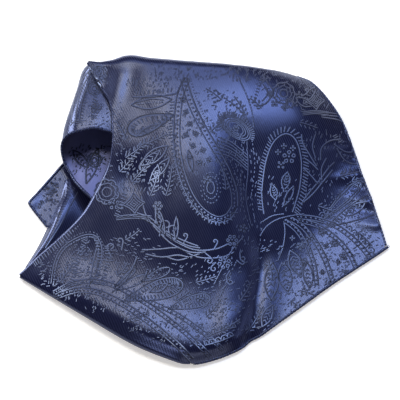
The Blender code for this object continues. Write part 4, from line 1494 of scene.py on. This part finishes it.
for spec in (
    ((-37.6, 92.5), (30.9, 106.2), 150, 1.6), ((-54.1, 84.3), (-23.9, 93.9), 50, 1.8),
    ((-6.1, 58.2), (21.3, 85.7), 70, 1.4, (1.0, 0.6)), ((-27.4, 27.4), (-17.1, 65.1), 30, 1.6),
):
    speckle(*spec)

# The pavilion, the carnation at the crest and the stems that leave them
trellis((-48.6, 7.6), 7.6, 12.0)
carnation((-67.1, 15.8), 8.6)
flower((-62.3, 7.6), 4.0, 5, 0.4)
flower((-58.2, 6.2), 3.0, 4, 0.9)
for lean in range(7):
    root = Vector((-66.4, 24.0))
    draw([root + Vector((lean * 1.5, -1.0)), root + Vector((lean * 2.3 - 1.0, 5.0))], FINE_LINE)
stems((
    (
        (-59.6, -1.3), (-48.6, -0.7), (-37.6, -4.8), (-27.4, -13.0), (-17.1, -19.8), (-6.1, -23.9),
        (6.9, -23.3), (15.8, -19.8),
    ),
    ((-43.8, 13.0), (-40.4, 0.0), (-32.2, -10.9), (-22.6, -19.8), (-10.2, -25.3), (0.7, -25.3)),
    ((-46.6, 1.4), (-37.6, -2.0), (-26.7, -10.9), (-15.7, -17.1), (-4.8, -21.2)),
    ((-37.6, -2.0), (-23.9, -14.4), (-13.0, -20.5), (-3.4, -22.6)),
    (
        (-43.1, -23.9), (-30.8, -23.3), (-18.5, -22.6), (-8.9, -27.4), (0.0, -29.4), (11.7, -28.7),
        (19.9, -25.3),
    ),
    ((-40.4, -26.7), (-29.4, -28.7), (-18.5, -27.4), (-8.9, -29.4)),
    ((-26.0, -28.7), (-18.5, -30.8), (-10.2, -28.7), (-0.7, -25.3)),
))
for spec in (
    ((-30.8, -14.4), (0.1, 1.0), 8.0, -1.0), ((-22.6, -17.1), (-0.3, 1.0), 7.0, -1.0),
    ((-14.4, -19.2), (0.6, 1.0), 5.0, 1.0), ((0.0, -25.3), (0.7, -0.6), 6.0, -1.0),
    ((6.2, -23.3), (0.5, 0.9), 5.0, 1.0),
):
    hook(*spec)
leaf((-27.4, -14.4), (-33.5, 6.9), 2.0)
leaf((-19.8, -17.1), (-19.2, -0.7), 1.3, False)
flower((-32.2, 6.2), 3.4, 6)
leaf((-32.9, 2.1), (-30.1, -8.9), 1.6, False)
flower((13.0, -32.2), 4.6, 6, 0.3)
for across, up in ((7.6, -32.2), (17.2, -37.7), (21.3, -30.8), (14.4, -41.8), (24.0, -25.3)):
    hook((across, up), (chance.uniform(-1.0, 1.0), -0.8), 4.2, 1.0)
dots(((21.3, -32.2), (15.8, -43.1), (10.3, -55.5)), 2.6, 1.8, 0.9)
curve(((26.7, -14.4), (18.5, -23.9), (11.7, -36.3), (6.2, -47.2)), FINE_LINE)
flower((18.5, -17.1), 4.0, 6)
flower((26.1, -8.9), 3.0, 5)

# The fringed leaves under it, and the comb columns of the dark band
fringed = drop_shape((-55.5, -56.1), (-15.0, -46.6), 7.2, -2.0)
draw(fringed)
ticks(fringed[6:-6], 2.4, -0.8, -3.4, 0.8, PLAIN_LINE)
leaf((-37.6, -52.0), (-25.3, -47.2), 2.2)
dots(((-44.5, -54.1), (-36.3, -52.0)), 2.2, 0.8, 0.9)
flower((-22.6, -46.6), 2.8, 5)
fringed = drop_shape((-25.3, -62.3), (3.5, -56.1), 4.8, -1.5)
draw(fringed, FINE_LINE)
ticks(fringed[5:-5], 2.2, -0.6, -2.6, 0.3)
flower((-3.4, -56.8), 2.6, 5)
for tip, end, wide in (
    ((-59.6, -52.0), (-40.4, -41.1), 3.0), ((-60.9, -49.3), (-47.2, -36.3), 2.0),
    ((-43.1, -45.9), (-23.9, -36.3), 3.2),
):
    draw(drop_shape(tip, end, wide, 1.0), FINE_LINE)
    beads(drop_shape(tip, end, wide * 0.6, 1.0), 0.0, 2.2, 0.8, 0.7)
stems((
    ((-63.7, -52.7), (-54.1, -44.5), (-47.2, -32.2)), ((-62.3, -50.0), (-51.4, -39.0), (-45.9, -28.1)),
    ((-78.8, -48.6), (-76.0, -32.2), (-72.6, -17.1)),
), FINE_LINE)
for points in (
    ((-74.6, -14.4), (-71.9, -29.4), (-74.6, -47.2)), ((-67.1, -21.2), (-66.4, -32.2), (-69.8, -47.2)),
    ((-81.5, -15.7), (-87.0, -32.2), (-91.1, -47.2)),
):
    fringe(points, 2.2, -1.6, 1.6, 0.5)
speckle((-95.2, -47.2), (-71.9, -17.1), 80, 1.8, (1.0, 0.4))
speckle((-69.2, -32.2), (-30.8, -15.7), 46, 2.2, (1.0, -0.2))
arch = smooth_line((
    (-104.8, -46.6), (-102.0, -30.8), (-95.2, -20.5), (-82.2, -13.7), (-74.0, -15.0), (-70.5, -23.9),
    (-72.6, -36.3), (-77.4, -47.2),
))
draw(arch, FINE_LINE)
beads(arch, -1.8, 2.4, 1.3, 1.2)
beads(arch, 1.6, 2.4, 0.9, 0.9)
dots(
    ((-96.6, -45.9), (-93.8, -32.2), (-87.0, -23.9), (-79.4, -22.6), (-77.4, -29.4), (-81.5, -41.8)),
    2.2, 1.0, 1.0,
)
fringe((
    (-61.6, 61.0), (-63.7, 47.3), (-66.4, 33.6), (-70.5, 19.9), (-77.4, 7.6), (-88.3, -8.9),
    (-102.0, -22.6), (-115.7, -34.2),
), 2.2, -2.6, 0.8, 0.5)
hook((-56.8, -23.9), (0.2, 1.0), 6.0, 1.0)
hook((-63.7, -28.1), (-0.5, 1.0), 6.0, -1.0)

# The long dotted bands along the front
arc = (
    (-103.4, -52.0), (-89.7, -45.2), (-74.6, -43.8), (-60.3, -47.2), (-44.5, -55.5), (-27.4, -67.1),
    (-10.2, -80.8), (4.8, -95.2),
)
band(arc, -2.6, 0.9)
band((
    (-102.0, -54.1), (-87.0, -49.3), (-70.5, -51.4), (-52.7, -60.3), (-34.9, -72.6), (-19.8, -84.9),
    (-7.5, -97.2),
), -3.4, 1.2)
band(((-37.6, -57.5), (-19.8, -65.7), (-2.0, -77.4), (13.0, -90.4)), -2.4, 0.9, FINE_LINE)
for spec in (
    ((-104.8, -58.2), (-77.4, -47.2), 60, 1.5), ((-81.5, -66.4), (-44.5, -50.0), 80, 1.5),
    ((-55.5, -78.8), (-18.5, -62.3), 70, 1.5), ((-30.8, -89.0), (-0.7, -73.3), 50, 1.5),
    ((-17.1, -89.0), (18.5, -58.2), 70, 1.3),
):
    speckle(*spec)
for points in (((1.4, -82.2), (11.7, -78.1), (21.3, -76.0)), ((0.0, -88.3), (10.3, -85.6), (19.9, -81.5))):
    line = smooth_line(points)
    draw(line, FINE_LINE)
    scallops(line, 0.6, 4.0, 2.0)

# The flower spray and the second pavilion at the upper right
carnation((54.1, 83.6), 7.6, 0.4)
for number in range(5):
    angle = math.pi * (1.0 + number / 4)
    middle = Vector((54.8, 82.9)) + Vector((math.cos(angle) * 10.0, math.sin(angle) * 9.0))
    flower(middle, 2.4, 4, angle)
leaf((62.4, 80.2), (73.3, 74.7), 2.4, False)
leaf((56.9, 80.2), (59.6, 73.3), 2.0, False)
curve(((43.2, 91.1), (46.6, 84.3), (41.8, 76.7), (35.0, 74.7)))
curve(((39.8, 89.8), (43.2, 83.6), (39.1, 78.1)), FINE_LINE)
fringe(((39.1, 93.9), (36.3, 85.7), (33.6, 77.4)), 2.2, -1.2, 1.2)
speckle((35.0, 85.7), (77.4, 98.0), 40, 1.8, (1.0, 0.5))
hook((66.5, 81.5), (1.0, 0.6), 5.0, 1.0)
hook((70.6, 84.3), (1.0, 0.9), 4.0, -1.0)
trellis((76.1, 78.1), 6.6, 9.0)
stems((
    ((77.4, 70.6), (88.4, 69.9), (99.4, 67.8), (107.6, 59.6), (117.2, 47.3)),
    ((80.2, 68.5), (93.9, 67.2), (102.1, 62.4), (110.3, 52.8), (117.8, 44.5)),
    ((80.2, 67.2), (92.5, 65.1), (100.7, 59.6)),
))
for start, end in (((39.8, 72.0), (46.6, 67.2)), ((41.1, 66.5), (45.2, 72.0))):
    draw([Vector(start), Vector(end)])

# The tall fringed paisley in the right-hand fold, and the stems that branch by it
tall = smooth_line((
    (40.4, 0.7), (39.1, 15.8), (41.8, 36.3), (47.3, 50.0), (55.5, 55.5), (62.4, 50.7), (65.8, 36.3),
    (64.4, 18.5), (59.6, 2.1),
))
draw(tall)
ticks(tall[4:50], 2.4, 0.9, 3.6, 0.8)
ticks(tall[50:], 2.2, 1.4, 5.2, 1.6, PLAIN_LINE)
flower((57.6, 39.8), 4.6, 5, 0.3)
flower((52.1, 34.3), 3.0, 4, 0.7)
for across, up in ((50.0, 43.2), (54.1, 47.3), (60.3, 45.9)):
    flower((across, up), 2.0, 4)
leaf((54.1, 17.2), (56.9, 29.5), 2.6)
leaf((48.7, 10.3), (45.9, 21.3), 2.2)
leaf((54.1, 6.2), (61.0, 19.9), 1.8, False)
speckle((43.2, 2.1), (62.4, 26.7), 54, 1.8)
stems((
    ((66.5, 8.9), (72.0, 15.8), (78.8, 24.0), (85.0, 32.2), (89.1, 36.3)),
    ((65.1, 6.9), (73.3, 13.7), (80.9, 22.6), (87.7, 30.9)),
    ((66.5, 55.5), (67.2, 50.0), (71.3, 42.5), (76.7, 33.6)),
    ((67.8, 39.1), (72.6, 35.6), (77.4, 30.9)),
    ((80.2, 24.0), (80.2, 32.2), (83.6, 39.1)),
    ((67.2, 32.2), (72.0, 27.4), (77.4, 21.3)),
    ((76.1, 55.5), (74.0, 47.3), (76.1, 39.1)),
    ((79.5, 37.7), (80.2, 45.9), (85.7, 50.7), (93.9, 52.1)),
))
for points in (
    ((72.6, 55.5), (69.2, 47.3)), ((77.4, 57.6), (74.7, 50.7)), ((81.5, 55.5), (78.1, 47.3)),
    ((77.4, 43.9), (80.9, 37.7)), ((68.5, 29.5), (69.9, 24.0)), ((67.2, 21.3), (72.6, 17.2)),
    ((67.2, 17.2), (71.3, 13.0)),
):
    draw([Vector(point) for point in points], BOLD_LINE)
curve(((90.4, 45.9), (95.9, 37.7), (104.8, 35.0), (114.4, 39.1), (120.6, 41.1)))
curve(((88.4, 48.7), (97.3, 43.2), (107.6, 43.9), (119.9, 42.5)))
fringe(((88.4, 54.1), (93.9, 48.7), (100.7, 47.3)), 2.4, -0.6, 2.6, 0.8)
dots(((95.2, 41.1), (100.7, 39.8), (107.6, 39.8)), 2.4, 1.0, 1.1)
for wide in (2.6, 4.4):
    draw(drop_shape((80.2, -3.4), (106.9, 22.6), wide, 0.0), FINE_LINE)
beads(drop_shape((82.9, 0.7), (104.8, 19.9), 1.4, 0.0), 0.0, 2.0, 0.9, 0.9)
beads(drop_shape((78.1, -4.8), (108.9, 24.0), 6.0, 0.0), 0.0, 2.2, 0.9, 0.7)
leafy = drop_shape((81.5, -5.5), (127.4, 13.0), 7.4, -3.0)
draw(leafy)
ticks(leafy[8:46], 2.4, -0.9, -3.4, 0.9, PLAIN_LINE)
leaf((95.9, -0.7), (110.3, 8.9), 2.6)
flower((115.8, 10.3), 3.2, 5)
dots(((92.5, -2.7), (100.7, -1.3), (111.7, 1.4)), 2.4, 1.0, 0.9)

# The fan of dotted bands at the right, with its scrolled border
first = band(
    ((63.7, 0.0), (76.1, -1.3), (89.8, -6.1), (102.1, -15.0), (111.7, -25.3), (115.8, -32.2)), -2.8,
    1.2,
)
scallops(first[14:], 1.4, 4.0, 2.4)
band(((65.1, -2.7), (77.4, -6.1), (89.1, -13.7), (98.7, -23.9), (104.8, -36.3)), -2.6, 1.2)
band(((59.6, -1.3), (67.8, -6.8), (76.1, -17.1), (82.9, -29.4), (87.7, -43.1)), -2.8, 1.2)
band(((55.5, -2.7), (63.7, -9.6), (70.6, -20.5), (75.4, -33.5), (77.4, -48.6)), -2.4, 1.0)
stems((
    ((37.7, -14.4), (41.8, -8.2), (48.7, -3.4), (58.3, -0.7), (67.8, 0.7)),
    ((39.1, -4.8), (45.9, -0.7), (54.1, 0.7)),
    ((54.1, -4.1), (54.8, -11.6), (53.5, -21.2), (50.0, -30.8)),
), FINE_LINE)
for middle in ((88.4, -19.2), (94.6, -28.1), (80.2, -11.6), (71.3, -15.7), (65.1, -21.2), (67.8, -32.2)):
    flower(middle, 2.8, 5, middle[0])
for middle in ((91.1, -32.2), (96.6, -39.0), (80.2, -39.0), (82.9, -21.2), (59.6, -15.7)):
    flower(middle, 1.8, 4, middle[0])
for spec in (
    ((58.3, -23.9), (65.1, -41.8), 4.0), ((52.8, -32.2), (56.2, -52.7), 4.2),
    ((69.2, -32.2), (71.3, -50.0), 3.0), ((45.9, -32.2), (44.6, -58.2), 4.4),
    ((45.9, -60.9), (39.1, -76.0), 3.0),
):
    leaf(*spec)
speckle((39.1, -71.9), (65.1, -32.2), 60, 1.6)
speckle((65.1, -51.4), (114.4, -11.6), 120, 1.3, (1.0, -0.5))
speckle((100.7, -32.2), (121.3, -0.7), 50, 1.8, (1.0, 0.1))
dots(((26.1, 44.5), (24.7, 24.0), (26.1, 6.9), (30.9, -8.9)), 2.6, 1.4, 0.7)
dots(((32.2, 52.8), (34.3, 34.3), (32.2, 13.0), (34.3, -4.8)), 2.6, 1.4, 0.7)
curve(((28.8, 51.4), (29.5, 30.9), (28.1, 11.7), (31.5, -6.1)), 0.5)

# Sprigs and loose dashes that fill the ground between the larger motifs
for start, end, size in (
    (
        (-54.1, 39.1), (-40.4, 50.0), 3.6,
    ), ((-58.2, 29.5), (-45.9, 44.5), 3.0), ((-50.0, 22.6), (-37.6, 37.7), 3.4),
    (
        (-37.6, 13.0), (-32.2, 29.5), 3.0,
    ), ((-26.7, 13.0), (-22.6, 32.2), 2.8), ((-44.5, 47.3), (-25.3, 55.5), 2.6),
    (
        (-54.1, 51.4), (-60.9, 65.1), 2.6,
    ), ((-30.8, 61.0), (-25.3, 70.6), 2.4), ((3.5, 56.9), (14.4, 67.8), 2.4),
    ((11.7, 78.8), (0.7, 87.0), 2.4), ((28.1, 67.8), (19.9, 81.5), 2.4), ((14.4, 17.2), (11.7, 32.2), 2.4),
    ((39.1, 73.3), (30.9, 80.2), 2.6),
    ((77.4, 6.2), (88.4, 2.1), 2.6), ((92.5, 26.7), (110.3, 30.9), 2.8), ((65.1, 63.7), (77.4, 59.6), 2.6),
    ((96.6, 59.6), (106.2, 51.4), 2.6), ((100.7, 22.6), (114.4, 25.4), 2.6), (
        (104.8, -11.6), (114.4, -21.2), 2.4,
    ),
    (
        (65.1, -51.4), (77.4, -55.5), 3.0,
    ), ((58.3, -58.2), (66.5, -65.1), 2.8), ((45.9, -44.5), (43.2, -32.2), 3.0),
    (
        (81.5, -47.2), (91.1, -44.5), 2.6,
    ), ((29.5, -78.8), (39.1, -62.3), 2.6), ((24.0, -58.2), (32.2, -44.5), 2.6),
    ((0.7, -69.2), (10.3, -58.2), 2.6), (
        (10.3, -78.8), (24.0, -70.5), 2.6,
    ), ((-6.1, -45.9), (7.6, -41.8), 2.6),
    (
        (-99.3, -45.9), (-89.7, -32.2), 2.6,
    ), ((-59.6, -41.8), (-52.7, -32.2), 2.8), ((-54.1, -17.1), (-44.5, -10.2), 2.4),
    (
        (-40.4, -41.8), (-30.8, -36.3), 2.4,
    ), ((-19.8, -58.2), (-10.2, -51.4), 2.4), ((-51.4, -70.5), (-37.6, -66.4), 2.4),
):
    sprig(start, end, size)
for spec in (
    ((18.5, 91.1), (43.2, 102.1), 50, 1.8), ((65.1, 73.3), (85.7, 92.5), 50, 1.8),
    ((-58.2, 17.2), (-18.5, 65.1), 150, 1.9, (0.5, 1.0)),
    ((6.2, 24.0), (28.1, 78.8), 120, 1.8, (0.2, 1.0)), ((67.8, 6.2), (95.2, 58.2), 60, 1.9),
    ((95.2, -4.8), (114.4, 51.4), 60, 1.9, (0.7, 1.0)),
    ((18.5, -32.2), (39.1, 44.5), 90, 1.9, (0.1, 1.0)),
    ((32.2, -78.8), (65.1, -17.1), 170, 1.8, (1.0, 0.6)),
    ((55.5, -58.2), (99.4, -17.1), 120, 1.8, (1.0, 0.6)),
    ((-6.1, -85.6), (30.9, -28.1), 150, 1.8, (1.0, 0.8)),
    ((-58.2, -58.2), (3.5, -32.2), 70, 1.8, (1.0, 0.4)),
    ((-113.0, -48.6), (-58.2, -32.2), 120, 1.9, (1.0, 0.4)),
    ((-69.2, 24.0), (-56.8, 78.8), 50, 1.5, (1.0, -0.3)),
    ((-58.2, -85.6), (-3.4, -58.2), 70, 1.7, (1.0, 0.2)),
):
    speckle(*spec)

# The curl, the flap, the strip and the tail
for shift in (0, 4, 8, 12):
    rungs = ((-71.2, 102.1), (-77.4, 95.2), (-82.2, 85.7), (-84.9, 74.7), (-86.3, 63.7))
    ladder = smooth_line([(across - 0.7 * shift, up) for across, up in rungs])
    draw(ladder, FINE_LINE)
    ticks(ladder, 2.2, 0.2, 2.4, 0.4)
fringe(((-69.2, 98.0), (-74.6, 89.8), (-77.4, 80.2), (-78.8, 67.8)), 2.2, 0.4, 3.2, 1.0, PLAIN_LINE)
carnation((-76.0, 87.0), 5.0, 0.2)
flower((-74.6, 73.3), 3.4, 5)
speckle((-93.8, 61.0), (-66.4, 78.8), 46, 1.8, (1.0, 0.3))
leaf((-91.1, 44.5), (-80.1, 32.2), 2.6)
leaf((-73.3, 45.9), (-81.5, 21.3), 3.0)
carnation((-76.0, 37.7), 5.0, 0.2)
speckle((-93.8, 26.7), (-67.8, 48.7), 60, 1.6, (0.6, 1.0))
carnation((-72.6, 98.0), 5.0, 0.2)
speckle((-78.8, 89.8), (-63.7, 103.5), 30, 1.5)
for points in (
    ((-89.7, 18.5), (-95.2, 8.9), (-100.0, -2.0), (-106.2, -15.7)),
    ((-92.5, 19.9), (-99.3, 7.6), (-104.8, -3.4), (-110.3, -17.1)),
):
    fringe(points, 1.8, -0.9, 0.9, 0.5)
curve(((-87.0, 15.8), (-93.1, 4.8), (-99.3, -7.5), (-108.9, -22.6)), FINE_LINE)
speckle((-117.1, -6.1), (-97.9, 26.7), 70, 2.0, (-0.6, 1.0), PLAIN_LINE)
speckle((-110.3, 10.3), (-100.7, 24.0), 24, 2.4, (1.0, 0.2), BOLD_LINE)

# The same figure where it runs over the back fold and down the curl's far side
seen_from = SEEN_BACK
for middle, high in ((-46.0, 20.0), (-14.0, 22.0), (20.0, 20.0), (54.0, 16.0)):
    motif = drop_shape((middle - 11.0, high * 0.75), (middle + 10.0, high * 0.4), 5.2, 2.0)
    draw(motif)
    ticks(motif[6:-6], 2.4, -0.8, -2.8, 0.5)
    flower((middle + 3.0, high * 0.48), 2.6, 5)
    carnation((middle + 17.0, high * 0.45), 5.0)
    band(((middle - 14.0, high * 0.2), (middle, high * 0.1), (middle + 14.0, high * 0.18)), -2.4)
    hook((middle - 14.0, high * 0.45), (0.2, 1.0), 5.0, 1.0)
speckle((-62.0, 2.0), (84.0, 26.0), 150, 1.8)
seen_from = SEEN_LEFT
for middle in (-22.0, 0.0, 18.0):
    leaf((middle - 8.0, 8.0), (middle + 8.0, 15.0), 3.2)
    flower((middle + 10.0, 8.0), 3.0, 5)
speckle((-34.0, 2.0), (28.0, 22.0), 70, 1.8)


def figure_mesh(name, runs, finish, near, far):
    """Closed flat ribbons beside lines that lie on the cloth, as one mesh."""
    vertices = []
    faces = []
    tops = []
    for run, wide in runs:
        start = len(vertices)
        ahead = (run[-1][0] - run[0][0]).cross(run[0][1])
        side = MILLIMETRE * wide * (1.0 if ahead.dot(SHADED_SIDE) > 0.0 else -1.0)
        edges = sorted((near * side, far * side))
        for number, (point, outward) in enumerate(run):
            before = run[max(number - 1, 0)][0]
            after = run[min(number + 1, len(run) - 1)][0]
            aside = (after - before).cross(outward).normalized()
            high = outward * FIGURE_HIGH * MILLIMETRE
            low = outward * -FIGURE_SUNK * MILLIMETRE
            vertices += [
                point + aside * edges[0] + high, point + aside * edges[1] + high,
                point + aside * edges[1] + low, point + aside * edges[0] + low,
            ]
        faces.append([start + 3, start + 2, start + 1, start])
        tops.append(False)
        for number in range(len(run) - 1):
            corner = start + 4 * number
            for step in range(4):
                follow = (step + 1) % 4
                faces.append([corner + step, corner + follow, corner + 4 + follow, corner + 4 + step])
                tops.append(step == 0)
        end = start + 4 * (len(run) - 1)
        faces.append([end, end + 1, end + 2, end + 3])
        tops.append(False)
    mesh = bpy.data.meshes.new(name)
    mesh.from_pydata(vertices, [], faces)
    low = Vector((min(point.x for point in vertices), min(point.y for point in vertices)))
    high = Vector((max(point.x for point in vertices), max(point.y for point in vertices)))
    bake_map = mesh.uv_layers.new(name="OFBake")
    for face, top in zip(mesh.polygons, tops):
        for loop, corner in zip(face.loop_indices, face.vertices):
            if top:
                where = vertices[corner].xy - low
                bake_map.data[loop].uv = (
                    MAP_MARGIN + MAP_SIZE * where.x / (high.x - low.x),
                    MAP_MARGIN + MAP_SIZE * where.y / (high.y - low.y),
                )
            else:
                bake_map.data[loop].uv = MAP_SPARE
    mesh.materials.append(finish)
    piece = placed(name, mesh)
    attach(piece, "root")
    return piece


FLOAT_SCALE = 1500.0
FLOAT_HIGH = 0.00003
FLOAT_DARK = (0.018, 0.021, 0.055, 1.0)
FLOAT_LIGHT = (0.026, 0.031, 0.075, 1.0)
FLOAT_TINT = (0.64, 0.74, 1.0, 1.0)
# Painted shade: the colour of the dark stripe beside every figure line, standing for the raised thread's
# shadow.
SHADE_DARK = (0.007, 0.008, 0.022, 1.0)

figure_silk = Finish("navy_figure_float")
object_place = figure_silk.node("ShaderNodeTexCoord", {}, {}, "Object")
backward = figure_silk.node("ShaderNodeSeparateXYZ", {}, {0: object_place}, "Y")
floats = figure_silk.noise(object_place, FLOAT_SCALE, 1.0)
tilted = backward * -FIGURE_TILT + floats * FLOAT_HIGH
figure_silk.surface({
    "Base Color": figure_silk.blend(floats, FLOAT_DARK, FLOAT_LIGHT),
    "Metallic": 0.0,
    "Roughness": 0.40 + floats * 0.10,
    "Specular IOR Level": 1.0,
    "IOR": 1.72,
    "Specular Tint": FLOAT_TINT,
    "Normal": figure_silk.node(
        "ShaderNodeBump", {}, {"Strength": 1.0, "Distance": 1.0, "Height": tilted}, "Normal",
    ),
})

# The painted shade stripes: near-black and dull, laid beside every figure line in place of its shadow.
shade_silk = Finish("navy_figure_shade")
shade_silk.surface({
    "Base Color": SHADE_DARK,
    "Metallic": 0.0,
    "Roughness": 0.55,
    "Specular IOR Level": 0.25,
})

shells = (upper_sheet, curl, strip, tail)
shell_points = []
shell_faces = []
shell_of_face = []
for shell in shells:
    first = len(shell_points)
    shell_points += [vertex.co for vertex in shell.data.vertices]
    for face in shell.data.polygons:
        shell_faces.append([first + corner for corner in face.vertices])
        shell_of_face.append(shell.name)
heap = BVHTree.FromPolygons(shell_points, shell_faces)
runs_on = {shell.name: [] for shell in shells}
for line, wide, (origin, across, up, toward) in figure_lines:
    run = []
    on_shell = None
    for where in line:
        seen = origin + across * where[0] + up * where[1] + toward * FAR_OFF - HEAP_MIDDLE
        point, outward, face, _ = heap.ray_cast(seen * MILLIMETRE, -toward)
        here = None if point is None else shell_of_face[face]
        if here != on_shell or (run and (point - run[-1][0]).length > STEEPEST_JUMP * MILLIMETRE):
            if len(run) > 1:
                runs_on[on_shell].append((run, wide))
            run = []
            on_shell = here
        if here is not None and outward.dot(toward) > LEAST_FACING:
            run.append((point, outward))
    if len(run) > 1:
        runs_on[on_shell].append((run, wide))
figures = {}
for name, runs in runs_on.items():
    figures[name] = [
        figure_mesh(name.replace("silk", "figure"), runs, figure_silk.material, *LIT_PART),
        figure_mesh(name.replace("silk", "figure_shade"), runs, shade_silk.material, *SHADED_PART),
    ]

# Each stretch, all cut from the one square, with its flat size, its area, the pieces beneath it and its
# hems; the loop only puts each one's hems and figure pieces together and keeps nothing.
for stretch, flat, area, beneath, hems in (
    (
        upper_sheet, (0.260, 0.260), 0.0446, ["under_layers"],
        [hem_front, hem_right, stitches_front, stitches_right],
    ),
    (curl, (0.156, 0.073), 0.0056, ["tail"], [hem_curl, stitches_curl]),
    (strip, (0.074, 0.055), 0.0022, ["tail"], []),
    (tail, (0.062, 0.068), 0.00235, [], [hem_tail, stitches_tail]),
):
    hems + figures[stretch.name]
